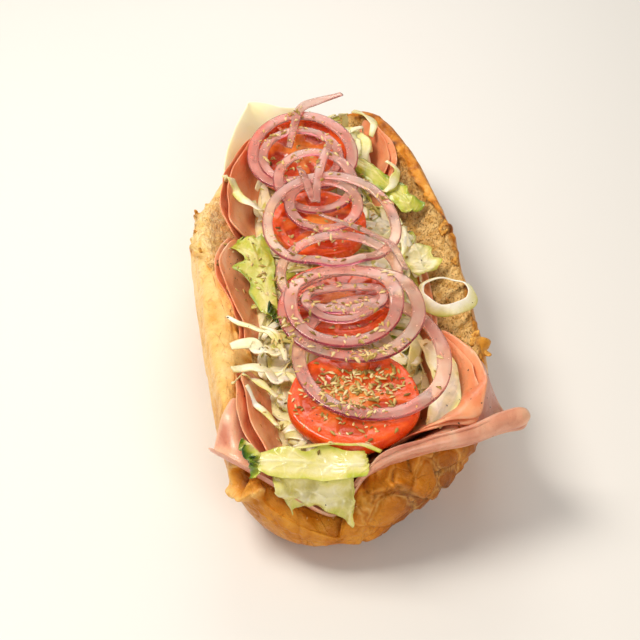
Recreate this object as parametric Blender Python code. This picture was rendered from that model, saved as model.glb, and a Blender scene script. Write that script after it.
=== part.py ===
"""A submarine sandwich lying open, about 28 cm long: one hinged roll, folded ham, a cheese slice,
shredded lettuce, four tomato slices and red onion rings.

Each filling is laid on what is already there. The Pile keeps the height of the stack over a fine
grid. A piece starts at the height it would hang at by itself, and is lifted until it clears the pile,
so the solids touch nowhere and overlap nowhere.

Lengths are in millimetres here and become metres when a mesh is made. +Y runs along the roll to its
far end, +X to the side whose cut face lies open, +Z up. At the end everything moves so that the
origin is the middle of the object's box, on the plane it rests on.
"""

import math

import bpy
import numpy as np

MM = 0.001

# The roll. Its plan is an oval about a slightly bent axis, blunt at both ends.
ROLL_NEAR = -131.5
ROLL_FAR = 150.0
ROLL_RIGHT = 64.5
ROLL_NOSE_HEIGHT = 17.0
RIM_HEIGHT = 45.0
# How blunt each end is, the higher the squarer: in plan on the left, in plan on the right, seen from
# the side above the nose, and below it.
NEAR_BLUNTNESS = (3.2, 4.5, 8.0, 3.5)
FAR_BLUNTNESS = (2.5, 2.3, 13.0, 3.5)
AXIS_NEAR_SHIFT = -12.0
AXIS_FAR_SHIFT = 10.0
CRUST_UNEVEN = 0.8
# How far the left side stands out from the axis, and how far the right side is tucked in below its
# rim, as (y, value) knots.
ROLL_LEFT = (
    (-134, 63.5), (-100, 61.5), (-60, 60), (-20, 61.5), (20, 64), (55, 66.5), (85, 65.5), (110, 63.5),
    (150, 63.5),
)
TUCK = ((-134, 4), (-120, 11), (-105, 12), (-80, 5), (-55, 0), (150, 0))
# Where the cut faces meet the rims and each other, as (y, value) knots.
CUT_LEFT = (
    (-134, -22), (-122, -36), (-108, -44), (-95, -49), (0, -51), (50, -51), (75, -43), (100, -36),
    (130, -18), (147, 4),
)
CUT_RIGHT = (
    (-134, -8), (-122, 1), (-112, 12), (-100, 32), (-86, 47), (-50, 57), (30, 58), (60, 53), (90, 46),
    (128, 33), (147, 20),
)
HINGE = ((-134, -14), (-118, -11), (-80, 0), (60, 2), (147, 12))
FLOOR_HEIGHT = ((-134, 17), (-124, 23), (-100, 13), (90, 13), (135, 24), (147, 18))
RIM_LEFT_DROP = (
    (-134, 10), (-120, 12), (-108, 8), (-95, 4), (-75, 0), (50, 0), (80, 7), (120, 9), (147, 6),
)
RIM_RIGHT_RISE = ((-134, 1), (-122, 2), (-114, 4), (-90, -1), (-50, -1), (60, 1), (110, 6), (150, 8))

# Fillings.
HAM_THICK = 1.6
CHEESE_THICK = 2.4
LEAF_THICK = 1.5
TOMATO_THICK = 6.5
RING_THICK = 2.2
# How much the rolled edge adds to the front slice, and how much of that its first rows take.
ROLL_OF_HAM = 5.0
ROLL_SHAPE = (0.75, 1.0, 0.45)
HEAP_NEAR = -118.0
HEAP_FAR = 128.0
HEAP_HEIGHT = (
    (-118, 39), (-100, 42), (-60, 44), (-20, 44.5), (8, 43), (40, 45), (62, 42), (95, 48), (128, 54),
)
HEAP_REACH = 46
HEAP_FALL = 6.0
HEAP_UNEVEN = 1.0
HEAP_EDGE = 1.6

CELL = 0.8
CLEARANCE = 0.55
REACH = 0.6
LIFT_ROUNDS = 60
NOTHING = -1000.0
# How a lift spreads to what it is linked to: the rounds, and the share of the neighbours' mean.
LIMP = (0, 0.0)
SPRINGY = (14, 0.975)

# The tomato slices, each as (x, y, top height, radius along x, radius along y, tilt in degrees). A
# tilt lifts the slice's far side.
TOMATOES = (
    (-4.9, 88.6, 57.0, 26.0, 26.5, 15.0),
    (-2.0, 31.8, 55.0, 22.4, 22.0, 8.0),
    (1.0, -23.7, 53.0, 26.8, 25.0, 1.0),
    (0.2, -85.0, 52.0, 27.8, 27.0, 1.0),
)

# The onion rings from the lowest to the highest, each as (name, x, y, height, radius along x, radius
# along y, tilt in degrees, band width).
RINGS = (
    ("far_large", -5.1, 82.2, 59.0, 28.0, 29.0, 15.0, 6.0),
    ("far_inner", -6.2, 76.8, 60.0, 21.5, 21.5, 15.0, 5.0),
    ("near_large", 10.3, -64.7, 55.0, 34.2, 37.3, 6.0, 6.4),
    ("middle_wide", 2.4, -12.2, 56.0, 28.8, 30.0, 8.0, 5.0),
    ("third_small", 2.1, -35.2, 57.0, 19.4, 13.0, 0.0, 4.4),
    ("third_outer", 4.6, -39.9, 58.0, 32.4, 30.6, 0.0, 6.4),
    ("third_inner", 1.4, -38.6, 60.0, 26.4, 25.6, 2.0, 6.2),
    ("second_leaning", -1.4, 55.5, 60.0, 20.7, 22.9, 17.0, 5.4),
    ("second_small", 0.6, 37.1, 60.0, 18.8, 18.3, 5.0, 5.0),
    ("second_large", 2.4, 18.9, 60.0, 32.6, 36.5, 10.0, 5.2),
)

# Cut lengths of onion and lettuce, as centre-line points (x, y, height).
STRIPS = {
    "onion_strip_far": (3.4, ((20, 130, 62), (8, 121, 64), (-3, 111, 65), (-8, 96, 64), (-12, 80, 62))),
    "onion_strip_second": (3.0, ((-9, 59, 60), (-7, 47, 61), (-4, 35, 61))),
    "onion_strip_cross": (3.4, ((-2, 28, 60), (14, 14, 60), (27, -3, 58), (31, -20, 56))),
    "onion_strip_top": (2.8, ((8, 79, 65), (2, 60, 66), (-2, 42, 66), (-3, 31, 65))),
    "lettuce_strip_left": (5.2, ((-49, -45, 49), (-38, -44, 49), (-28, -52, 47))),
    "lettuce_strip_near": (5.4, ((-49, -62, 49), (-38, -60, 49), (-26, -67, 46))),
}

# Sheets of ham, cheese and leaf, each between two edges given as (x, y, height) points.
HAM_FAR_LEFT = ((-44, 34, 46), (-48, 50, 50), (-48, 65, 52), (-43, 84, 53), (-37, 98, 54), (-30, 109, 55))
HAM_FAR_RIGHT = ((36, 54, 44), (34, 72, 46), (41, 88, 47), (40, 106, 49), (33, 126, 51))
HAM_MIDDLE_LEFT = ((-46, -38, 45), (-45, -26, 46), (-50, -8, 48), (-54, 10, 49), (-53, 22, 49), (-45, 37, 47))
HAM_MIDDLE_RIGHT = ((41, -38, 38), (44, -20, 36), (45, 0, 35), (45, 24, 35), (42, 50, 34))
HAM_NEAR_LEFT = ((-41, -113, 48), (-46, -98, 49), (-49, -77, 49), (-49, -58, 48))
HAM_NEAR_RIGHT = ((49, -101, 47), (54, -86, 49), (54, -70, 49), (50, -57, 49), (42, -43, 48))
HAM_FRONT_EDGE = (
    (-62, -96, 40), (-40, -120, 46), (-26, -124, 36), (-12, -125, 24), (-3, -122, 38), (6, -119, 50),
    (26, -115, 53), (44, -111, 52), (58, -104, 50), (72, -99, 46),
)
HAM_BACK_EDGE = ((-51, -76, 46), (-30, -72, 30), (0, -70, 16), (40, -66, 34), (61, -62, 40))
CHEESE_OUTER = ((-46, 84, 46), (-42, 104, 53), (-28, 132, 62), (-14, 127, 59), (0, 128, 57))
CHEESE_INNER = ((-33, 80, 30), (-25, 90, 27), (-15, 100, 27), (-5, 104, 29), (4, 108, 32))
LEAVES = {
    "lettuce_leaf_left": (((-42, 33, 47), (-41, 14, 47), (-37, -6, 46), (-35, -20, 44)),
                          ((-29, 36, 46), (-25, 13, 46), (-26, -14, 46), (-28, -24, 45))),
    "lettuce_leaf_far_right": (((16, 89, 48), (28, 70, 48), (37, 55, 46), (40, 46, 44)),
                               ((24, 92, 49), (37, 76, 48), (48, 60, 46), (53, 49, 45))),
    "lettuce_leaf_right": (((34, 20, 44), (36, 8, 45), (40, -2, 44)),
                           ((47, 24, 44), (52, 12, 45), (53, 4, 44))),
    "lettuce_leaf_near_right": (((32, -48, 48), (35, -62, 47), (34, -80, 47), (27, -101, 47)),
                                ((43, -52, 48), (47, -68, 48), (45, -86, 48), (33, -104, 48))),
    "lettuce_leaf_front": (((-45, -110, 50), (-28, -111, 51), (-12, -113, 52), (2, -116, 51)),
                           ((-42, -120, 48), (-28, -124, 48), (-12, -127, 48), (2, -125, 50))),
    "lettuce_leaf_notch": (((-34, -118, 50), (-24, -119, 50), (-13, -121, 50), (-4, -121, 50)),
                           ((-34, -125, 37), (-29, -127, 34), (-16, -129, 32), (-5, -129, 31))),
}
CURL = (50.0, -20.0, 50.0, 12.0, 11.0, 4.0, 4.6)


# ---------------------------------------------------------------- curves and uneven surfaces

def along(y, knots):
    """The value at y of a smooth curve through (y, value) knots, which never swings past them."""
    places = np.array([k[0] for k in knots], float)
    values = np.array([k[1] for k in knots], float)
    i = int(np.clip(np.searchsorted(places, y) - 1, 0, len(knots) - 2))
    t = float(np.clip((y - places[i]) / (places[i + 1] - places[i]), 0, 1))
    rise = np.diff(values) / np.diff(places)
    same_way = rise[:-1] * rise[1:] > 0
    slope = np.zeros(len(knots))
    slope[1:-1][same_way] = (2 * rise[:-1] * rise[1:])[same_way] / (rise[:-1] + rise[1:])[same_way]
    span = places[i + 1] - places[i]
    return (
        (2 * t**3 - 3 * t**2 + 1) * values[i]
        + (t**3 - 2 * t**2 + t) * span * slope[i]
        + (3 * t**2 - 2 * t**3) * values[i + 1]
        + (t**3 - t**2) * span * slope[i + 1]
    )


def spline(points, t, closed=False):
    """The point at t, from 0 to 1, of a Catmull-Rom curve through the points."""
    points = np.asarray(points, float)
    count = len(points)
    spans = count if closed else count - 1
    s = min(t * spans, spans - 1e-9)
    i = int(s)
    f = s - i
    pick = (lambda k: points[k % count]) if closed else (lambda k: points[min(max(k, 0), count - 1)])
    before, start, end, after = (pick(i + k) for k in (-1, 0, 1, 2))
    return 0.5 * (
        2 * start
        + (end - before) * f
        + (2 * before - 5 * start + 4 * end - after) * f**2
        + (3 * start - before - 3 * end + after) * f**3
    )


def wave(x, y, seed, length=30.0):
    """A soft uneven height between about -1 and 1, the same at each run."""
    a = math.sin(x * 6.3 / length + seed * 1.7 + 1.3 * math.sin(y * 4.1 / length + seed))
    b = math.sin(y * 5.2 / length + seed * 2.9 + 1.1 * math.sin(x * 5.7 / length - seed))
    return 0.5 * (a + b)


# ---------------------------------------------------------------- the pile

class Pile:
    """The height of the top of everything laid so far, over a grid of square cells."""

    def __init__(self, low, high):
        self.low = np.array(low, float)
        self.shape = tuple(np.ceil((np.array(high, float) - self.low) / CELL).astype(int))
        self.top = np.full(self.shape, NOTHING)

    def over(self, corners):
        """The cells that a triangle covers in plan, out to REACH past its edges, and its height there."""
        a, b, c = corners
        area = (b[0] - a[0]) * (c[1] - a[1]) - (c[0] - a[0]) * (b[1] - a[1])
        if abs(area) < 1e-4:
            return None
        first = np.floor((corners[:, :2].min(0) - REACH - self.low) / CELL).astype(int)
        last = np.ceil((corners[:, :2].max(0) + REACH - self.low) / CELL).astype(int)
        first = np.clip(first, 0, self.shape)
        last = np.clip(last, 0, self.shape)
        if (last <= first).any():
            return None
        xs = self.low[0] + (np.arange(first[0], last[0]) + 0.5) * CELL
        ys = self.low[1] + (np.arange(first[1], last[1]) + 0.5) * CELL
        x, y = np.meshgrid(xs, ys, indexing="ij")
        of_b = ((x - a[0]) * (c[1] - a[1]) - (c[0] - a[0]) * (y - a[1])) / area
        of_c = ((b[0] - a[0]) * (y - a[1]) - (x - a[0]) * (b[1] - a[1])) / area
        of_a = 1 - of_b - of_c
        sides = [math.dist(p[:2], q[:2]) for p, q in ((b, c), (c, a), (a, b))]
        slack = [-REACH * side / abs(area) for side in sides]
        inside = (of_a >= slack[0]) & (of_b >= slack[1]) & (of_c >= slack[2])
        height = of_a * a[2] + of_b * b[2] + of_c * c[2]
        height = np.clip(height, corners[:, 2].min(), corners[:, 2].max())
        return slice(first[0], last[0]), slice(first[1], last[1]), inside, height, (of_a, of_b, of_c)

    def add(self, points, triangles):
        for triangle in triangles:
            found = self.over(points[list(triangle)])
            if found is not None:
                across, up, inside, height, _ = found
                view = self.top[across, up]
                view[inside] = np.maximum(view[inside], height[inside])

    def height(self, x, y, around):
        """The highest top within a distance of (x, y)."""
        across, up = ((np.array((x, y)) - self.low) / CELL).astype(int)
        cells = int(around / CELL)
        return float(self.top[across - cells:across + cells + 1, up - cells:up + cells + 1].max())

    def shortfall(self, corners):
        """How far each corner of a triangle must rise for it to clear the pile: the most for the
        corner nearest to the place where it clears the pile by least."""
        found = self.over(corners)
        if found is None:
            return np.zeros(3)
        across, up, inside, height, shares = found
        short = np.where(inside, self.top[across, up] + CLEARANCE - height, NOTHING)
        worst = np.unravel_index(short.argmax(), short.shape)
        share = np.array([of_corner[worst] for of_corner in shares]).clip(0, 0.5)
        return max(short[worst], 0) * share * 2


def lifted(pile, points, triangles, group, links, spread):
    """The points raised clear of the pile. Points of one group rise together. The rise spreads over
    linked groups: each keeps at least this share of its neighbours' mean."""
    lift = np.zeros(int(group.max()) + 1)
    least = lift.copy()
    links = np.asarray(links, int).reshape(-1, 2)
    degree = np.bincount(links.ravel(), minlength=len(lift)).clip(1)
    for _ in range(LIFT_ROUNDS):
        need = np.zeros_like(lift)
        now = points.copy()
        now[:, 2] += lift[group]
        for triangle in triangles:
            corners = list(triangle)
            np.maximum.at(need, group[corners], pile.shortfall(now[corners]))
        if need.max() <= 1e-3:
            break
        least = np.where(need > 0, lift + need * 0.6 + 0.02, least)
        lift = least.copy()
        for _ in range(spread[0]):
            total = np.zeros_like(lift)
            np.add.at(total, links[:, 0], lift[links[:, 1]])
            np.add.at(total, links[:, 1], lift[links[:, 0]])
            lift = np.maximum(least, spread[1] * total / degree)
    risen = points.copy()
    risen[:, 2] += lift[group]
    return risen


# ---------------------------------------------------------------- solids

def make_object(name, points, triangles, material):
    mesh = bpy.data.meshes.new(name)
    mesh.from_pydata([tuple(p * MM) for p in np.asarray(points, float)], [], triangles)
    mesh.materials.append(material)
    mesh.shade_smooth()
    made = bpy.data.objects.new(name, mesh)
    bpy.context.scene.collection.objects.link(made)
    return made


def quad(a, b, c, d):
    return [(a, b, c), (a, c, d)]


def lay_sheet(pile, name, plan, thickness, material, top_at=None):
    """A sheet over plan, a grid of (x, y, wanted height of its top). thickness(i, j) is measured
    square to the sheet, and top_at(x, y) may ask for more above it."""
    rows, columns, _ = plan.shape
    index = np.arange(rows * columns).reshape(rows, columns)
    under = []
    for i in range(rows - 1):
        for j in range(columns - 1):
            under += quad(index[i, j], index[i + 1, j], index[i + 1, j + 1], index[i, j + 1])
    hanging = plan.reshape(-1, 3).copy()
    hanging[:, 2] -= [thickness(i, j) for i in range(rows) for j in range(columns)]
    bottom = lifted(pile, hanging, under, np.arange(rows * columns), [], LIMP)
    grid = bottom.reshape(rows, columns, 3)
    along_i = np.gradient(grid, axis=0)
    along_j = np.gradient(grid, axis=1)
    normal = np.cross(along_i, along_j)
    upright = np.abs(normal[..., 2]) / np.linalg.norm(normal, axis=2).clip(1e-9)
    top = grid.copy()
    for i in range(rows):
        for j in range(columns):
            top[i, j, 2] += thickness(i, j) / max(upright[i, j], 0.45)
            if top_at is not None:
                top[i, j, 2] = max(top[i, j, 2], top_at(*top[i, j, :2]))
    top = top.reshape(-1, 3)
    count = rows * columns
    over = [(a + count, b + count, c + count) for a, b, c in under]
    rim = list(index[:, 0]) + list(index[-1, 1:]) + list(index[-2::-1, -1]) + list(index[0, -2:0:-1])
    around = []
    for a, b in zip(rim, rim[1:] + rim[:1]):
        around += quad(a, b, b + count, a + count)
    points = np.vstack([bottom, top])
    pile.add(points, over)
    return make_facing_out(name, points, [t[::-1] for t in under] + over + around, material)


def make_facing_out(name, points, triangles, material):
    """The object, with all of its triangles turned if they enclose a negative volume."""
    corners = np.asarray(points)[np.asarray(triangles, int)]
    volume = np.einsum("ij,ij->i", corners[:, 0], np.cross(corners[:, 1], corners[:, 2])).sum()
    if volume < 0:
        triangles = [t[::-1] for t in triangles]
    return make_object(name, points, [tuple(int(k) for k in t) for t in triangles], material)


def lay_band(pile, name, path, width, thickness, material, closed, spread):
    """A flat band along a path of (x, y, wanted height of its top), lying flat across its width."""
    path = np.asarray(path, float) - (0, 0, thickness)
    count = len(path)
    if closed:
        heading = np.roll(path, -1, axis=0) - np.roll(path, 1, axis=0)
    else:
        heading = np.gradient(path, axis=0)
    side = np.stack([heading[:, 1], -heading[:, 0]], axis=1)
    side /= np.linalg.norm(side, axis=1)[:, None]
    outer = path.copy()
    outer[:, :2] += side * width / 2
    inner = path.copy()
    inner[:, :2] -= side * width / 2
    bottom = np.vstack([outer, inner])
    group = np.tile(np.arange(count), 2)
    steps = [(i, (i + 1) % count) for i in range(count if closed else count - 1)]
    under = []
    for i, j in steps:
        under += quad(i, j, j + count, i + count)
    bottom = lifted(pile, bottom, under, group, steps, spread)
    top = bottom.copy()
    top[:, 2] += thickness
    points = np.vstack([bottom, top])
    over = [(a + 2 * count, b + 2 * count, c + 2 * count) for a, b, c in under]
    pile.add(points, over)
    sides = []
    for i, j in steps:
        sides += quad(i, j, j + 2 * count, i + 2 * count)
        sides += quad(j + count, i + count, i + 3 * count, j + 3 * count)
    if not closed:
        last = count - 1
        sides += quad(count, 0, 2 * count, 3 * count)
        sides += quad(last, last + count, last + 3 * count, last + 2 * count)
    triangles = [t[::-1] for t in under] + over + sides
    return make_facing_out(name, points, triangles, material)


# ---------------------------------------------------------------- the pieces

ROLL_STATIONS = 23


def roll_section(y):
    """The closed outline of the roll across y, as (x, z) points from the middle of the base."""
    near_end = y < 0
    t = abs(y / (ROLL_NEAR if near_end else ROLL_FAR))
    bluntness = NEAR_BLUNTNESS if near_end else FAR_BLUNTNESS
    plan_left, plan_right, over, under = (math.sqrt(1 - t**b) for b in bluntness)
    shift = AXIS_NEAR_SHIFT * max(-(y + 40) / 94, 0) ** 2 + AXIS_FAR_SHIFT * max((y - 20) / 127, 0) ** 2
    left = shift - along(y, ROLL_LEFT) * plan_left
    right = shift + ROLL_RIGHT * plan_right
    tucked = right - along(y, TUCK)
    middle = along(y, HINGE)
    floor = along(y, FLOOR_HEIGHT)
    rim_left = RIM_HEIGHT - along(y, RIM_LEFT_DROP)
    rim_right = RIM_HEIGHT + along(y, RIM_RIGHT_RISE)
    cut_left = max(along(y, CUT_LEFT), left + 3)
    cut_right = min(along(y, CUT_RIGHT), right - 3)
    outline = [
        (shift, 0),
        (shift + 0.30 * (tucked - shift), 0),
        (shift + 0.62 * (tucked - shift), 0),
        (shift + 0.90 * (tucked - shift), 9),
        (0.40 * right + 0.60 * tucked, 25),
        (0.88 * right + 0.12 * cut_right, rim_right - 6),
        (0.60 * right + 0.40 * cut_right, rim_right),
        (0.30 * right + 0.70 * cut_right, rim_right),
        (cut_right - 1.5, rim_right - 4.5),
        (0.62 * cut_right + 0.38 * middle, floor + 0.40 * (rim_right - floor)),
        (middle + 0.26 * (cut_right - middle), floor + 2),
        (middle + 0.26 * (cut_left - middle), floor + 2),
        (0.62 * cut_left + 0.38 * middle, floor + 0.40 * (rim_left - floor)),
        (cut_left + 1.5, rim_left - 4.5),
        (0.30 * left + 0.70 * cut_left, rim_left),
        (0.60 * left + 0.40 * cut_left, rim_left),
        (0.88 * left + 0.12 * cut_left, rim_left - 6),
        (left, 24),
        (shift + 0.90 * (left - shift), 8),
        (shift + 0.62 * (left - shift), 0),
        (shift + 0.30 * (left - shift), 0),
    ]
    count = len(outline) * 2
    points = []
    for k in range(count):
        x, z = spline(outline, k / count, closed=True)
        z = max(z, 0) - ROLL_NOSE_HEIGHT
        z = ROLL_NOSE_HEIGHT + z * (over if z > 0 else under)
        z += CRUST_UNEVEN * wave(x, y, 3) * min(max(z - 4, 0) / 10, 1) * plan_left
        points.append((x, y, z))
    return points


def lay_roll(pile, material):
    """Stations bunch towards both ends, where the roll rounds off to a nose."""
    stations = []
    for k in range(1, ROLL_STATIONS * 2):
        bunched = math.sin((k / ROLL_STATIONS - 1) * math.pi / 2)
        stations.append(bunched * (ROLL_FAR if bunched > 0 else -ROLL_NEAR) * 0.998)
    stations = stations[::2]
    sections = [roll_section(y) for y in stations]
    count = len(sections[0])
    points = [p for section in sections for p in section]
    triangles = []
    for s in range(len(sections) - 1):
        for k in range(count):
            here, onward = s * count + k, s * count + (k + 1) % count
            triangles += quad(here, onward, onward + count, here + count)
    for start, tip_y, turn in ((0, ROLL_NEAR, 1), ((len(sections) - 1) * count, ROLL_FAR, -1)):
        ring = np.array(points[start:start + count])
        points.append((ring[:, 0].mean(), tip_y, ring[:, 2].mean()))
        for k in range(count):
            triangles.append((len(points) - 1, start + (k + 1) % count, start + k)[::turn])
    points = np.array(points)
    corners = points[np.array(triangles)]
    up = np.cross(corners[:, 1] - corners[:, 0], corners[:, 2] - corners[:, 0])[:, 2]
    made = make_facing_out("bread_roll", points, triangles, material)
    pile.add(points, [t for t, rise in zip(triangles, up) if abs(rise) > 1e-3])
    return made


def between(first, second, rows, columns, sag=0.0, bunching=1.0):
    """A grid of points between two edges, hanging sag lower halfway across. Bunching above 1 draws
    the points towards the first edge."""
    plan = np.zeros((rows, columns, 3))
    for i in range(rows):
        start, end = spline(first, i / (rows - 1)), spline(second, i / (rows - 1))
        for j in range(columns):
            f = (j / (columns - 1)) ** bunching
            plan[i, j] = start + (end - start) * f
            plan[i, j, 2] -= sag * min(4 * f * (1 - f) * 1.3, 1)
    return plan


def lay_ham_and_cheese(pile, ham, cheese):
    """Four slices lie across the cut like shingles, the foremost first. The cheese leans out between
    the farthest slice and the roll."""
    even = lambda i, j: HAM_THICK
    front = between(HAM_FRONT_EDGE, HAM_BACK_EDGE, 19, 9, 10, 1.7)
    rolled = lambda i, j: HAM_THICK + (ROLL_OF_HAM * ROLL_SHAPE[j] if i > 9 and j < 3 else 0)
    lay_sheet(pile, "ham_front", front, rolled, ham)
    slice_of_cheese = between(CHEESE_OUTER, CHEESE_INNER, 9, 6)
    lay_sheet(pile, "cheese_slice", slice_of_cheese, lambda i, j: CHEESE_THICK, cheese)
    lay_sheet(pile, "ham_near", between(HAM_NEAR_LEFT, HAM_NEAR_RIGHT, 9, 15, 28), even, ham)
    lay_sheet(pile, "ham_middle", between(HAM_MIDDLE_LEFT, HAM_MIDDLE_RIGHT, 9, 15, 26), even, ham)
    lay_sheet(pile, "ham_far", between(HAM_FAR_LEFT, HAM_FAR_RIGHT, 9, 15, 28), even, ham)


def heap_height(x, y):
    """The top of the shredded lettuce: highest under the tomatoes and uneven all over."""
    off = abs(x - along(y, HINGE)) / 45
    return along(y, HEAP_HEIGHT) - HEAP_FALL * off**3 + HEAP_UNEVEN * wave(x, y, 7, 17)


def shore(pile, y, side):
    """How far to one side the heap reaches before the ham or the roll rises through its top."""
    middle = along(y, HINGE)
    off = 0
    while off < HEAP_REACH:
        x = middle + (off + 1) * side
        if pile.height(x, y, 2.5) > heap_height(x, y) - HEAP_EDGE:
            break
        off += 1
    return middle + off * side


def lay_heap(pile, lettuce):
    """The shredded lettuce fills the cut up to its own uneven top."""
    rows, columns = 25, 10
    places = [HEAP_NEAR + (HEAP_FAR - HEAP_NEAR) * i / (rows - 1) for i in range(rows)]
    shores = np.array([(shore(pile, y, -1), shore(pile, y, 1)) for y in places])
    shores[1:-1] = (shores[:-2] + 2 * shores[1:-1] + shores[2:]) / 4
    plan = np.zeros((rows, columns, 3))
    for i, (y, (left, right)) in enumerate(zip(places, shores)):
        for j in range(columns):
            plan[i, j] = (left + (right - left) * j / (columns - 1), y, 10)
    lay_sheet(pile, "lettuce_heap", plan, lambda i, j: HEAP_EDGE, lettuce, heap_height)


def lay_leaves(pile, lettuce):
    for number, (name, (first, second)) in enumerate(LEAVES.items()):
        plan = between(first, second, 9, 5)
        for i in range(plan.shape[0]):
            for j in range(plan.shape[1]):
                plan[i, j, 2] += 1.2 * wave(*plan[i, j, :2], number, 14)
        lay_sheet(pile, name, plan, lambda i, j: LEAF_THICK, lettuce)
    x, y, height, radius_x, radius_y, tilt, width = CURL
    path = oval(x, y, height, radius_x, radius_y, tilt, 18)
    lay_band(pile, "lettuce_curl", path, width, RING_THICK, lettuce, True, SPRINGY)


def oval(x, y, height, radius_x, radius_y, tilt, count):
    """Points round an ellipse whose far side is lifted by the tilt."""
    lean = math.radians(tilt)
    return [
        (
            x + radius_x * math.cos(a),
            y + radius_y * math.sin(a) * math.cos(lean),
            height + radius_y * math.sin(a) * math.sin(lean),
        )
        for a in (2 * math.pi * k / count for k in range(count))
    ]


def lay_tomato(pile, number, place, material):
    """A round slice with a softened edge. It stays flat, so it rises as one piece."""
    x, y, top_height, radius_x, radius_y, tilt = place
    count = 26
    lean = math.radians(tilt)
    rings = ((-0.5, 0.955), (-0.18, 1.0), (0.22, 1.0), (0.5, 0.945))
    centre = np.array([x, y, top_height - TOMATO_THICK / 2])
    square = np.array([0, -math.sin(lean), math.cos(lean)])
    points = []
    for level, share in rings:
        for p in oval(0, 0, 0, radius_x * share, radius_y * share, tilt, count):
            points.append(centre + p + square * level * TOMATO_THICK)
    points += [centre + square * level * TOMATO_THICK for level in (-0.5, 0.5)]
    points = np.array(points)
    low, high = len(points) - 2, len(points) - 1
    last = (len(rings) - 1) * count
    triangles = []
    for k in range(count):
        n = (k + 1) % count
        triangles += [(low, n, k), (high, last + k, last + n)]
        for r in range(len(rings) - 1):
            here, above = r * count, (r + 1) * count
            triangles += quad(here + k, here + n, above + n, above + k)
    corners = points[np.array(triangles)]
    facing = np.cross(corners[:, 1] - corners[:, 0], corners[:, 2] - corners[:, 0])[:, 2]
    under = [t for t, f in zip(triangles, facing) if f < -1e-3]
    over = [t for t, f in zip(triangles, facing) if f > 1e-3]
    points = lifted(pile, points, under, np.zeros(len(points), int), [], LIMP)
    pile.add(points, over)
    return make_facing_out(f"tomato_slice_{number}", points, triangles, material)


def lay_onions(pile, material):
    for name, x, y, height, radius_x, radius_y, tilt, width in RINGS:
        path = oval(x, y, height, radius_x - width / 2, radius_y - width / 2, tilt, 26)
        lay_band(pile, "onion_ring_" + name, path, width, RING_THICK, material, True, SPRINGY)


def lay_strips(pile, prefix, material):
    for name, (width, points) in STRIPS.items():
        if name.startswith(prefix):
            path = [spline(points, k / 9) for k in range(10)]
            lay_band(pile, name, path, width, RING_THICK * 0.7, material, False, SPRINGY)


# ---------------------------------------------------------------- materials and the whole

def make_material(name, colour, roughness):
    made = bpy.data.materials.new(name)
    made.use_nodes = True
    shader = made.node_tree.nodes["Principled BSDF"]
    shader.inputs["Base Color"].default_value = (*colour, 1)
    shader.inputs["Roughness"].default_value = roughness
    return made


def recentre():
    """Moves every piece so that the origin is the middle of the box, on the plane it rests on."""
    everything = [o for o in bpy.context.scene.objects if o.type == "MESH"]
    corners = np.array([v.co for o in everything for v in o.data.vertices])
    low, high = corners.min(0), corners.max(0)
    middle = ((low[0] + high[0]) / 2, (low[1] + high[1]) / 2, low[2])
    for piece in everything:
        for vertex in piece.data.vertices:
            vertex.co = [c - m for c, m in zip(vertex.co, middle)]
    print("moved by", [round(-m / MM, 2) for m in middle])


def main():
    for old in list(bpy.data.objects):
        bpy.data.objects.remove(old)
    crust = make_material("crust", (0.62, 0.33, 0.09), 0.55)
    ham = make_material("ham", (0.80, 0.40, 0.32), 0.35)
    cheese = make_material("cheese", (0.87, 0.78, 0.50), 0.40)
    lettuce = make_material("lettuce", (0.66, 0.72, 0.33), 0.35)
    tomato = make_material("tomato", (0.78, 0.10, 0.03), 0.22)
    onion = make_material("onion", (0.78, 0.50, 0.50), 0.28)

    pile = Pile((-75, -145), (90, 160))
    lay_roll(pile, crust)
    lay_ham_and_cheese(pile, ham, cheese)
    lay_heap(pile, lettuce)
    lay_leaves(pile, lettuce)
    for number, place in enumerate(TOMATOES, 1):
        lay_tomato(pile, number, place, tomato)
    lay_strips(pile, "lettuce", lettuce)
    lay_onions(pile, onion)
    lay_strips(pile, "onion", onion)
    recentre()


main()
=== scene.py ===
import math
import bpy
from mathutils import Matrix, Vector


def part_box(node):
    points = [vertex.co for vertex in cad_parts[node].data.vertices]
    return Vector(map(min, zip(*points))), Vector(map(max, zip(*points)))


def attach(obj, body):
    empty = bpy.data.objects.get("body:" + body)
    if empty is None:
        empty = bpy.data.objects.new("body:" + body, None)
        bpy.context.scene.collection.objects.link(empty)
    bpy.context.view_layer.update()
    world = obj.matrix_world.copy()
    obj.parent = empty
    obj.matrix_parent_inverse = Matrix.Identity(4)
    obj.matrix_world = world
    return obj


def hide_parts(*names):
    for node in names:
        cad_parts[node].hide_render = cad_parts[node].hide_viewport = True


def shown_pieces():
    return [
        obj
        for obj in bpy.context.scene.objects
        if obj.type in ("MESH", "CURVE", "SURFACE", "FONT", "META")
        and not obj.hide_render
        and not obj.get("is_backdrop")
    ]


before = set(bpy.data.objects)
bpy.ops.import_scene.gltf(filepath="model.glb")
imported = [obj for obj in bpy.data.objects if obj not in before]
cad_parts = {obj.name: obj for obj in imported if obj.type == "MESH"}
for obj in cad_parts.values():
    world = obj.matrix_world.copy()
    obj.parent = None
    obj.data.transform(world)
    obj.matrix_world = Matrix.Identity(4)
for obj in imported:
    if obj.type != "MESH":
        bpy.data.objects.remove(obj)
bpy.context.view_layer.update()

# The looks of a submarine sandwich that lies open: crust and crumb, folded ham, a cheese slice,
# shredded lettuce, tomato slices, red onion rings, dried herbs and pepper.
#
# Lengths are in millimetres here and become metres when a mesh is made. Places come from the frame:
# each piece is built round the CAD node that it replaces.

from types import SimpleNamespace

import bmesh
import bpy
import numpy as np
from mathutils import Vector
from mathutils.bvhtree import BVHTree
from mathutils.kdtree import KDTree

MM = 0.001
HIGH_ABOVE = 200  # over every piece


# ---------------------------------------------------------------- noise

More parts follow.
